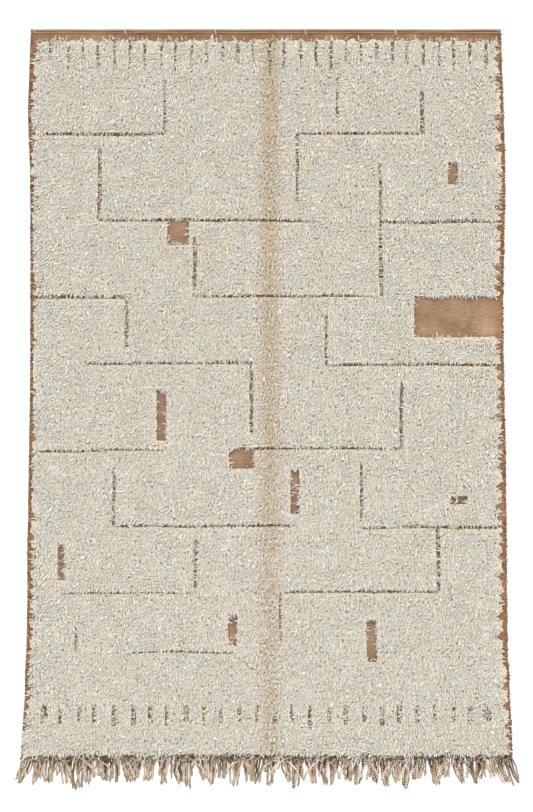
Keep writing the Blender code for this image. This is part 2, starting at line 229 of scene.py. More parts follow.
ground_bm = merged_copy("ground_weave")
ground_mesh = bpy.data.meshes.new("ground_cloth")
ground_bm.to_mesh(ground_mesh)
ground_bm.free()
woven = flatweave()
ground = piece("ground_cloth", ground_mesh, woven)
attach(ground, "root")
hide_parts("ground_weave")
ground_low, ground_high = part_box("ground_weave")

# --- Selvedges --------------------------------------------------------------------------
# The turns of the weft round the outermost warps: little brown loops one after another
# down both long edges, uneven, with one here and there standing out as a nub.

TURN_PITCH = 6.4 * MM
TURN_SIZE = (13.0 * MM, 5.6 * MM, 4.4 * MM)
TURN_IN = (6.0 * MM, 2.6 * MM)   # a turn's middle inside the cloth's left, right edge
TURN_NUDGE = ((-2.2 * MM, -1.6 * MM, -0.5 * MM), (1.6 * MM, 1.6 * MM, 0.5 * MM))
TURN_STRAY = 24               # degrees by which one lies askew
TURN_SPREAD = ((0.75, 0.8, 0.8), (1.1, 1.2, 1.3))   # smallest and largest, over the usual
NUB_SHARE = 0.14
NUB_SIZE = 1.35
WOVEN_EDGE = 0.95             # the cloth's two side edges lie past this
WOOL_FUZZ = 3.85 * MM         # clumps of fibres: the fibres themselves are too fine to show
TURN_TINTS = [(0.22, "4A2E1A"), (0.42, "70503A"), (0.60, "86674C"), (0.82, "A88C70")]


def weft_turn(name):
    """One turn: a bean lying across the edge, bent down at its outer end."""
    mesh = bpy.data.meshes.new(name)
    bm = bmesh.new()
    bmesh.ops.create_uvsphere(bm, u_segments=6, v_segments=4, radius=0.5)
    for v in bm.verts:
        v.co = (v.co.z, v.co.y, -v.co.x)
        v.co.z -= 0.5 * max(0.0, v.co.x) ** 2
    bmesh.ops.recalc_face_normals(bm, faces=bm.faces)
    for face in bm.faces:
        face.smooth = True
    bm.to_mesh(mesh)
    bm.free()
    return mesh


def selvedge_wool():
    """The same brown wool, doubled back on itself: each turn its own shade."""
    mat, tree, shader = new_material("weft_turn_wool")
    place = add(tree, "ShaderNodeTexCoord").outputs["Object"]
    shade = add(tree, "ShaderNodeAttribute", attribute_name="shade").outputs["Fac"]
    fibre = add(tree, "ShaderNodeTexNoise", {"Vector": place, "Scale": 1 / WOOL_FUZZ,
                                             "Detail": 3.0})
    tone = add(tree, "ShaderNodeMix", {"Factor": 0.5, "A": shade, "B": fibre.outputs[0]})
    colour = add(tree, "ShaderNodeValToRGB", {"Fac": tone.outputs[0]}, stops=TURN_TINTS)
    bump = add(tree, "ShaderNodeBump", {"Height": fibre, "Distance": 0.8 * MM,
                                        "Strength": 0.7})
    tree.links.new(colour.outputs[0], shader.inputs["Base Color"])
    tree.links.new(bump.outputs[0], shader.inputs["Normal"])
    shader.inputs["Roughness"].default_value = 0.92
    return mat


def turns_tree():
    """Geometry nodes that set a weft turn at each step along an edge, pointing outwards."""
    g = bpy.data.node_groups.new("weft_turns", "GeometryNodeTree")
    for name, kind in (("Geometry", "Geometry"), ("Pitch", "Float"), ("Size", "Vector"),
                       ("Turn", "Object"), ("Material", "Material")):
        g.interface.new_socket(name, in_out="INPUT", socket_type="NodeSocket" + kind)
    g.interface.new_socket("Geometry", in_out="OUTPUT", socket_type="NodeSocketGeometry")
    given = add(g, "NodeGroupInput").outputs
    line = add(g, "GeometryNodeMeshToCurve", {"Mesh": given["Geometry"]})
    points = add(g, "GeometryNodeCurveToPoints", {"Curve": line, "Length": given["Pitch"]},
                 mode="LENGTH")
    nudge = add(g, "FunctionNodeRandomValue", {"Min": TURN_NUDGE[0], "Max": TURN_NUDGE[1],
                                               "Seed": 1}, data_type="FLOAT_VECTOR")
    points = add(g, "GeometryNodeSetPosition", {"Geometry": points, "Offset": nudge})
    shade = add(g, "FunctionNodeRandomValue", {2: 0.0, 3: 1.0, "Seed": 2})
    points = add(g, "GeometryNodeStoreNamedAttribute",
                 {"Geometry": points, "Name": "shade", "Value": shade.outputs[1]},
                 data_type="FLOAT", domain="POINT")
    place = add(g, "GeometryNodeInputPosition")
    axes = add(g, "ShaderNodeSeparateXYZ", {0: place})
    left = add(g, "FunctionNodeCompare", {0: axes, 1: 0.0}, operation="LESS_THAN")
    about = add(g, "ShaderNodeMath", {0: left, 1: math.pi}, operation="MULTIPLY")
    stray = add(g, "FunctionNodeRandomValue", {2: math.radians(-TURN_STRAY),
                                               3: math.radians(TURN_STRAY), "Seed": 3})
    about = add(g, "ShaderNodeMath", {0: about, 1: stray.outputs[1]}, operation="ADD")
    turn = add(g, "ShaderNodeCombineXYZ", {2: about})
    vary = add(g, "FunctionNodeRandomValue", {"Min": TURN_SPREAD[0], "Max": TURN_SPREAD[1],
                                              "Seed": 4}, data_type="FLOAT_VECTOR")
    nub = add(g, "FunctionNodeRandomValue", {"Probability": NUB_SHARE, "Seed": 5},
              data_type="BOOLEAN")
    nub = add(g, "ShaderNodeMapRange", {"Value": nub.outputs[3], "To Min": 1.0,
                                        "To Max": NUB_SIZE})
    vary = add(g, "ShaderNodeVectorMath", {0: vary, "Scale": nub}, operation="SCALE")
    size = add(g, "ShaderNodeVectorMath", {0: vary, 1: given["Size"]}, operation="MULTIPLY")
    bean = add(g, "GeometryNodeObjectInfo", {"Object": given["Turn"]}).outputs["Geometry"]
    turns = add(g, "GeometryNodeInstanceOnPoints", {"Points": points, "Instance": bean,
                                                    "Rotation": turn, "Scale": size})
    turns = add(g, "GeometryNodeRealizeInstances", {"Geometry": turns})
    turns = add(g, "GeometryNodeSetMaterial", {"Geometry": turns,
                                               "Material": given["Material"]})
    add(g, "NodeGroupOutput", {0: turns})
    return g


def grown(name, start_mesh, tree, values, material):
    """A piece that a geometry nodes tree makes from a starting mesh, as a plain mesh."""
    start = bpy.data.objects.new(name, start_mesh)
    bpy.context.scene.collection.objects.link(start)
    modifier = start.modifiers.new(tree.name, "NODES")
    modifier.node_group = tree
    for item in tree.interface.items_tree:
        if item.in_out == "INPUT" and item.name in values:
            modifier[item.identifier] = values[item.name]
        elif item.in_out == "INPUT" and item.name == "Material":
            modifier[item.identifier] = material
    evaluated = start.evaluated_get(bpy.context.evaluated_depsgraph_get())
    mesh = bpy.data.meshes.new_from_object(evaluated)
    bpy.data.objects.remove(start, do_unlink=True)
    return piece(name, mesh, material)


edge_points = sorted({(round(v.co.x, 6), round(v.co.y, 6)) for v in ground_mesh.vertices},
                     key=lambda point: point[1])
sides = [[p for p in edge_points if p[0] < -WOVEN_EDGE],
         [p for p in edge_points if p[0] > WOVEN_EDGE]]
side_lines = bpy.data.meshes.new("side_lines")
line_points, line_edges = [], []
for side in sides:
    first = len(line_points)
    line_points += [(x + TURN_IN[0] if x < 0 else x - TURN_IN[1], y, ground_high.z)
                    for x, y in side]
    line_edges += [(i, i + 1) for i in range(first, len(line_points) - 1)]
side_lines.from_pydata(line_points, line_edges, [])
bean = bpy.data.objects.new("weft_turn", weft_turn("weft_turn"))
bpy.context.scene.collection.objects.link(bean)
selvedge = grown("selvedges", side_lines, turns_tree(),
                 {"Pitch": TURN_PITCH, "Size": TURN_SIZE, "Turn": bean}, selvedge_wool())
bpy.data.objects.remove(bean, do_unlink=True)
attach(selvedge, "root")

# --- Pile bed ---------------------------------------------------------------------------
# What shows between the tufts: the dense lower part of the knots, matted, its colour
# darkened below the tufts' as painted shade. It follows the pile's solid, but lower. At every
# bare edge its wall leans in, with painted shade on it, and roots in the ground's brown run
# out over the ground; at the rug's own rim it slopes, and only tufts lie over the slope.

pile_low, pile_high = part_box("pile")
PILE_BASE = pile_low.z
BED_SHARE = 0.84              # height of the matted part, as a share of the pile
BED_RIM = 6 * MM              # what is nearer than this to a bare edge belongs to its wall
BED_SHOULDER = (2.5 * MM, 25 * MM)   # how far in the wall's top lies: inside, at the rim
SLOPE_UNEVEN = (30.0, 0.9)    # unevenness at the rim: scale of its pattern, and share
SIDE_STARTS = 0.92            # from the middle line to where a bare edge is the rug's side
BED_ROOTS = 2 * MM            # how far out the roots show on the ground
# Painted shade: the stops after the first are darker than the tufts' wool to stand for the shade
# between them, and the dark brown second stop is painted shade on the walls at bare edges and in
# partings
BED_TINTS = [(0.0, "86664A"), (0.05, "5C3C24"), (0.17, "866444"), (0.40, "B19D80"),
             (0.58, "C6BFAF")]    # the first is the brown at the foot of a bare edge
WALL_SHADE = -0.75            # how far down those colours the bed goes at a bare edge: the ground's brown at the foot, painted shade up the wall
PARTINGS = (105.0, 0.65, 0.72)   # where knots part, 9.5 mm apart: scale, start and end
# painted shade in the holes where knots part: how far down the bed's tones it goes
PARTING_SHADE = 0.45
BED_STROKE = (3.7 * MM, 9.1 * MM)   # width, length of its strokes, coarse enough to show
BORDER_STEP = 5 * MM
FOLD_X = 0.014                # crease where the rug lay folded: the pile opens along it
FOLD_HALF_WIDTH = 0.070


def border_edges(bm):
    """The outline of a solid's flat underside: its edges, each with the way that is out."""
    for edge in bm.edges:
        flat = [f for f in edge.link_faces if f.normal.z < -0.99]
        walls = [f for f in edge.link_faces if f.normal.z >= -0.99]
        if len(flat) == 1 and len(walls) == 1:
            yield edge, Vector((walls[0].normal.x, walls[0].normal.y, 0.0)).normalized()


def border_tree(bm):
    """Points along a solid's outline in a search tree, and the way out at each of them."""
    points, ways = [], []
    for edge, out in border_edges(bm):
        first, last = (v.co for v in edge.verts)
        steps = max(1, round(edge.calc_length() / BORDER_STEP))
        for i in range(steps):
            points.append(first.lerp(last, (i + 0.5) / steps))
            ways.append(out)
    tree = KDTree(len(points))
    for i, point in enumerate(points):
        tree.insert((point.x, point.y, 0.0), i)
    tree.balance()
    return tree, ways


def wool_bed():
    """Matted wool, darker than the tufts as painted shade: the warm tan between the tufts,
    with painted shade in browner spots where knots part.
    """
    mat, tree, shader = new_material("matted_wool")
    place = add(tree, "ShaderNodeTexCoord").outputs["Object"]
    wide, long = BED_STROKE
    strokes = add(tree, "ShaderNodeVectorMath", {0: place, 1: (1 / wide, 1 / long, 1 / long)},
                  operation="MULTIPLY")
    specks = add(tree, "ShaderNodeTexNoise", {"Vector": strokes, "Scale": 1.0, "Detail": 2.0,
                                              "Distortion": 0.6})
    # Along a bare edge the tone drops: the ground's brown at the wall's foot, painted shade up the
    # wall
    edge = add(tree, "ShaderNodeAttribute", attribute_name="edge").outputs["Fac"]
    level = add(tree, "ShaderNodeMath", {0: edge, 1: WALL_SHADE, 2: specks},
                operation="MULTIPLY_ADD")
    # Painted shade where knots part: the same pattern that thins the knots darkens the bed
    level_place = add(tree, "ShaderNodeVectorMath", {0: place, 1: (1.0, 1.0, 0.0)},
                      operation="MULTIPLY")
    parting = add(tree, "ShaderNodeTexNoise", {"Vector": level_place, "Scale": PARTINGS[0],
                                               "Detail": 0.0})
    parting = add(tree, "ShaderNodeMapRange", {"Value": parting, "From Min": PARTINGS[1],
                                               "From Max": PARTINGS[2], "To Min": 0.0,
                                               "To Max": PARTING_SHADE})
    level = add(tree, "ShaderNodeMath", {0: level, 1: parting}, operation="SUBTRACT")
    axes = add(tree, "ShaderNodeSeparateXYZ", {0: place})
    off = add(tree, "ShaderNodeMath", {0: axes, 1: FOLD_X}, operation="SUBTRACT")
    off = add(tree, "ShaderNodeMath", {0: off}, operation="ABSOLUTE")
    fold = add(tree, "ShaderNodeMapRange", {"Value": off, "From Min": 0.0,
                                            "From Max": FOLD_HALF_WIDTH, "To Min": 0.12,
                                            "To Max": 0.0}, interpolation_type="SMOOTHSTEP")
    level = add(tree, "ShaderNodeMath", {0: level, 1: fold}, operation="SUBTRACT")
    colour = add(tree, "ShaderNodeValToRGB", {"Fac": level}, stops=BED_TINTS)
    tree.links.new(colour.outputs[0], shader.inputs["Base Color"])
    bump = add(tree, "ShaderNodeBump", {"Height": specks.outputs[0], "Distance": 3 * MM})
    tree.links.new(bump.outputs[0], shader.inputs["Normal"])
    shader.inputs["Roughness"].default_value = 1.0
    return mat


bed_bm = merged_copy("pile")
nearest, outs = border_tree(bed_bm)
# edge is 1 at the foot of a bare edge, where the bed's material gives the ground's brown and, up
# the wall, painted shade
edge_layer = bed_bm.verts.layers.float.new("edge")
for v in bed_bm.verts:
    _, index, distance = nearest.find((v.co.x, v.co.y, 0.0))
    height = (v.co.z - PILE_BASE) * BED_SHARE
    slope = BED_SHOULDER[1] * (1 + SLOPE_UNEVEN[1] * noise.noise(SLOPE_UNEVEN[0] * v.co))
    if distance < BED_RIM and height < MM:
        v.co.xy += outs[index].xy * BED_ROOTS
        v[edge_layer] = 1.0
    elif distance < BED_RIM:
        at_side = abs(v.co.x) > SIDE_STARTS and outs[index].x * v.co.x > 0.3
        v.co.xy -= outs[index].xy * (slope if at_side else BED_SHOULDER[0])
    if height >= MM:
        v.co.y = min(max(v.co.y, pile_low.y + slope), pile_high.y - slope)
    v.co.z = PILE_BASE + height
bed_mesh = bpy.data.meshes.new("pile_bed")
bed_bm.to_mesh(bed_mesh)
bed_bm.free()
bed = piece("pile_bed", bed_mesh, wool_bed())
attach(bed, "root")
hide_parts("pile")

# --- Pile -------------------------------------------------------------------------------
# Undyed cream wool, knotted in rows across the rug and cut to ends of about 26 mm that lean
# down the rug and lie over each other like a fleece. Geometry Nodes set a few tuft shapes on
# the knots; along every bare edge they hang out in locks, and on the fold they stand.

ROW_PITCH = 10.5 * MM
KNOT_PITCH = 4.45 * MM
KNOT_JITTER = 0.6             # how far a knot is out of place, over the pitch
ROW_JITTER = 0.30
DRIFT_SCALE = (9.0, 38.0, 1.0)    # rows draw together and part in patches of 110 by 26 mm,
DRIFT = (8 * MM, 18 * MM, 0.0)    # by this much
TUFT_LENGTH = 26 * MM
TUFT_WIDTH = 5.0 * MM
TUFT_FLATNESS = 0.55          # thickness of a tuft over its width
LONG_SPREAD = (0.85, 1.15)    # shortest and longest, over the usual: in the field
RIM_SPREAD = (0.75, 1.15)     # and along a bare edge
WIDE_SPREAD = (0.8, 1.15)
TALLEST = 0.92                # a long tuft stands no higher than this, over the usual

SWEEP_SCALE = 11.0            # swirls of 90 mm in the way that tufts lean
LEAN = (-165, -65)            # degrees between which it swings; -90 is down the rug
LEAN_STRAY = 26               # degrees that one strays from its neighbours
ROLL_STRAY = 25
LIFT_STRAY = (-4, 8)          # degrees that one in the field lies or stands
RIM_STRAY = (-24, 12)         # and one along a bare edge
EDGE_LIFT = 24                # degrees that a tuft near a bare edge stands up
INWARD_LIFT = 20              # degrees more that it does where it leans in from one
OUTER_LIFT = (26, 2)          # degrees that a tuft stands up at a bare edge and further in
FOLD_LIFT = 10                # degrees that a tuft on the fold stands up
FOLD_THIN = 0.20              # share of the knots missing in its middle

EDGE_PITCH = 3.4 * MM         # spacing of the tufts along a bare edge
EDGE_STRIP = (2 * MM, 12 * MM)   # how far in from a bare edge those tufts stand
RIM_INSET = (1 * MM, 24 * MM)    # how much further in where the ground past it is open
EDGE_MARGIN = (3.5 * MM, 5 * MM, 13 * MM)   # to the nearest knot: furrow, open edge, worn
EDGE_ZONE = 13 * MM           # knots nearer than this to a bare edge stand up
WORN_SCALE = 26.0             # worn places along a bare edge, 38 mm apart
WORN = (0.45, 0.65)           # pattern levels between which an edge goes from sound to worn
LOCK_PITCH = 11 * MM          # from one pointed lock of those tufts to the next
LOCK_SCALE = 38.0             # unevenness of their spacing, over 26 mm
LOCK_REACH = (0.9, 3.0)       # how much further one lock reaches over a gap than another
GATHERED = 0.8                # how strongly tufts lean to the middle of their lock
NARROW_GAP = 8 * MM           # across a gap like this, tufts reach NARROW_REACH as far
WIDE_GAP = 34 * MM            # as they do across one like this
NARROW_REACH = 0.36
RAGGED_SCALE = 22.0           # longer and shorter locks over the fringe, in 45 mm stretches
FRINGE_SIDE = pile_low.y + 30 * MM   # below this they hang over it

PILE_RISE = 6.0 * MM          # pile's surface above its knots
LUMPS = 3.0 * MM              # height of the pile's soft lumps
LUMP_SCALE = 16.0             # which are 60 mm across
PILE_TOP = 37.4 * MM          # the highest that a tuft's tip stands
PROBE = 0.1                   # rays to the pile start this far above or below it
BAND_COUNT = 5                # the pile is made in bands across the rug
CELLS = 180                   # tufts along a side of a band's map
CELL_MARGIN = 0.08            # left free round each tuft's square of it

UP_SHARE = 0.80               # how far a lit yarn's fuzz turns its shading to the sky
# From knot to tip: the warm darker colours near the knot are painted shade
YARN_ALONG = [(0.03, "8C6038"), (0.14, "CFBA9A"), (0.34, "E9E5DA"), (1.0, "EBE9E3")]
YARN_WARM = [(0.03, "7E5230"), (0.18, "B8936A"), (0.42, "DCC6A4"), (1.0, "E6D9C4")]
WARM_CLOUD = 250 * MM         # from one warmer part of the field to the next
WARM_SHARE = (0.12, 0.4)      # the warmest that a yarn can be, outside those parts and in them
WARM_FOLD = 0.60              # and how much warmer on the fold
YARN_FIBRE = 1.1 * MM         # fuzz in the relief, coarser than single fibres

# Each tuft shape: how steeply it leaves its knot, lies over and ends, its sideways curl, and
# whether it is a full yarn end or a thin wisp without a second bend.
TUFT_SHAPES = (
    dict(rise=44, lie=12, end=-6, curl=10, full=True),
    dict(rise=36, lie=6, end=0, curl=-18, full=False),
    dict(rise=30, lie=10, end=0, curl=24, full=False),
    dict(rise=40, lie=4, end=0, curl=-30, full=False),
    dict(rise=34, lie=14, end=0, curl=14, full=False),
    dict(rise=46, lie=8, end=0, curl=-6, full=False),
)
WISP_WIDTH = 0.80             # width of a wisp over a full end's


def tuft_shape(name, rise, lie, end, curl, full):
    """One cut yarn end from a point at its root, along +X, to its tip. Its corners carry a
    place in a unit square, round it and along it, and its points how far along they are."""
    mesh = bpy.data.meshes.new(name)
    bm = bmesh.new()
    along = bm.verts.layers.float.new("along")
    lay = bm.loops.layers.uv.new("tuft_map")
    at = Vector((0.0, 0.0, 0.0))
    if full:
        stations = ((0.34, rise, 0.0, 0.92), (0.40, lie, 0.5, 1.0), (0.26, end, 1.0, 0.0))
    else:
        stations = ((0.48, rise, 0.0, WISP_WIDTH), (0.52, lie, 1.0, 0.0))
    rings = []
    for share, pitch, turn, width in stations:
        pitch, yaw = math.radians(pitch), math.radians(curl * turn)
        way = Vector((math.cos(pitch) * math.cos(yaw), math.cos(pitch) * math.sin(yaw),
                      math.sin(pitch)))
        at = at + way * share * TUFT_LENGTH
        side = way.cross(Vector((0, 0, 1))).normalized() * TUFT_WIDTH / 2 * width
        up = side.cross(way) * TUFT_FLATNESS
        if width:
            turns = [math.tau * k / 3 + math.pi / 2 for k in range(3)]
            rings.append([at + side * math.cos(a) + up * math.sin(a) for a in turns])
    heights = [0.0, 0.34, 0.74, 1.0] if full else [0.0, 0.48, 1.0]
    root = bm.verts.new((0.0, 0.0, 0.0))
    rows = [[root] * 3] + [[bm.verts.new(co) for co in ring] for ring in rings]
    rows.append([bm.verts.new(at)] * 3)
    for row, height in zip(rows, heights):
        for v in row:
            v[along] = height
    for r in range(len(rows) - 1):
        for k in range(3):
            n = (k + 1) % 3
            corners = [(rows[r][n], k + 1, r), (rows[r][k], k, r),
                       (rows[r + 1][k], k, r + 1), (rows[r + 1][n], k + 1, r + 1)]
            if r == 0:
                corners = corners[1:]
            elif r == len(rows) - 2:
                corners = corners[:3]
            face = bm.faces.new([c[0] for c in corners])
            face.smooth = True
            for loop, (_, column, row) in zip(face.loops, corners):
                loop[lay].uv = (column / 3, heights[row])
    bmesh.ops.recalc_face_normals(bm, faces=bm.faces)
    bmesh.ops.triangulate(bm, faces=bm.faces)
    bm.to_mesh(mesh)
    bm.free()
    return mesh


def border_mesh(bm, height):
    """A solid's outline as bare edges at one height, whose points know which way is out."""
    index, ways, pairs = {}, [], []
    for edge, out in border_edges(bm):
        for v in edge.verts:
            if v not in index:
                index[v] = len(index)
                ways.append(Vector((0.0, 0.0, 0.0)))
            ways[index[v]] += out
        pairs.append([index[v] for v in edge.verts])
    mesh = bpy.data.meshes.new("pile_border")
    mesh.from_pydata([(v.co.x, v.co.y, height) for v in index], pairs, [])
    outward = mesh.attributes.new("outward", "FLOAT_VECTOR", "POINT")
    for i, way in enumerate(ways):
        outward.data[i].vector = way.normalized()
    return mesh


def cream_wool():
    """Hand-spun undyed wool, cut and fuzzy: creamy at its ends, warmer and darker down at
    the knot as painted shade, each yarn a little off the next, yellower where the fold opens the
    pile, and warmer and darker as painted shade where a tuft is shut in a narrow furrow.
    Its fuzz scatters light, so its shading leans to the sky."""
    mat, tree, shader = new_material("cream_wool_shag")
    place = add(tree, "ShaderNodeTexCoord").outputs["Object"]
    along = add(tree, "ShaderNodeAttribute", attribute_name="along").outputs["Fac"]
    shade = add(tree, "ShaderNodeAttribute", attribute_name="shade").outputs["Fac"]
    body_colour = add(tree, "ShaderNodeValToRGB", {"Fac": along}, stops=YARN_ALONG)
    warm = add(tree, "ShaderNodeValToRGB", {"Fac": along}, stops=YARN_WARM)
    clouds = add(tree, "ShaderNodeTexNoise", {"Vector": place, "Scale": 1 / WARM_CLOUD,
                                              "Detail": 4.0, "Roughness": 0.6})
    clouds = add(tree, "ShaderNodeMapRange", {"Value": clouds, "From Min": 0.35,
                                              "From Max": 0.70, "To Min": WARM_SHARE[0],
                                              "To Max": WARM_SHARE[1]})
    mixed = add(tree, "ShaderNodeMath", {0: shade, 1: clouds}, operation="MULTIPLY")
    axes = add(tree, "ShaderNodeSeparateXYZ", {0: place})
    off = add(tree, "ShaderNodeMath", {0: axes, 1: FOLD_X}, operation="SUBTRACT")
    far = add(tree, "ShaderNodeMath", {0: off}, operation="ABSOLUTE")
    fold = add(tree, "ShaderNodeMapRange", {"Value": far, "From Min": 0.0,
                                            "From Max": FOLD_HALF_WIDTH, "To Min": WARM_FOLD,
                                            "To Max": 0.0}, interpolation_type="SMOOTHSTEP")
    fade = add(tree, "ShaderNodeMapRange", {"Value": axes.outputs[1], "From Min": -1.3,
                                            "From Max": 0.2, "To Min": 0.35, "To Max": 1.0})
    fold = add(tree, "ShaderNodeMath", {0: fold, 1: fade}, operation="MULTIPLY")
    amount = add(tree, "ShaderNodeMath", {0: mixed, 1: fold}, operation="ADD")
    # A tuft shut in a narrow furrow takes the warmer, darker colours: painted shade
    shut_in = add(tree, "ShaderNodeAttribute", attribute_name="shut_in").outputs["Fac"]
    amount = add(tree, "ShaderNodeMath", {0: shut_in, 1: 2.0, 2: amount},
                 operation="MULTIPLY_ADD", use_clamp=True)
    colour = add(tree, "ShaderNodeMix", {"Factor": amount, "A": body_colour, "B": warm},
                 data_type="RGBA")
    tree.links.new(colour.outputs["Result"], shader.inputs["Base Color"])
    facing = add(tree, "ShaderNodeNewGeometry").outputs["Normal"]
    lifted = add(tree, "ShaderNodeMix", {"Factor": UP_SHARE, "A": facing,
                                         "B": (0.0, 0.0, 1.0)}, data_type="VECTOR")
    fibres = add(tree, "ShaderNodeTexNoise", {"Vector": place, "Scale": 1 / YARN_FIBRE,
                                              "Detail": 1.0})
    bump = add(tree, "ShaderNodeBump", {"Height": fibres, "Distance": 0.6 * MM,
                                        "Strength": 0.5, "Normal": lifted.outputs[1]})
    tree.links.new(bump.outputs[0], shader.inputs["Normal"])
    shader.inputs["Roughness"].default_value = 0.95
    shader.inputs["Sheen Weight"].default_value = 0.15
    shader.inputs["Sheen Roughness"].default_value = 0.5
    return mat


def gap_room(g, body, place, outward):
    """Nodes for how far a tuft at a bare edge may reach: 1 where the ground in front of it
    is open, and less across a narrow furrow."""
    start = add(g, "ShaderNodeVectorMath", {0: outward, "Scale": 1.5 * MM}, operation="SCALE")
    start = add(g, "ShaderNodeVectorMath", {0: start, 1: place}, operation="ADD")
    start = add(g, "ShaderNodeVectorMath", {0: start, 1: (0.0, 0.0, 2 * MM)}, operation="ADD")
    across = add(g, "GeometryNodeRaycast", {"Target Geometry": body, "Source Position": start,
                                            "Ray Direction": outward,
                                            "Ray Length": WIDE_GAP})
    return add(g, "ShaderNodeMapRange", {"Value": across.outputs["Hit Distance"],
                                         "From Min": NARROW_GAP, "From Max": WIDE_GAP,
                                         "To Min": NARROW_REACH, "To Max": 1.0})


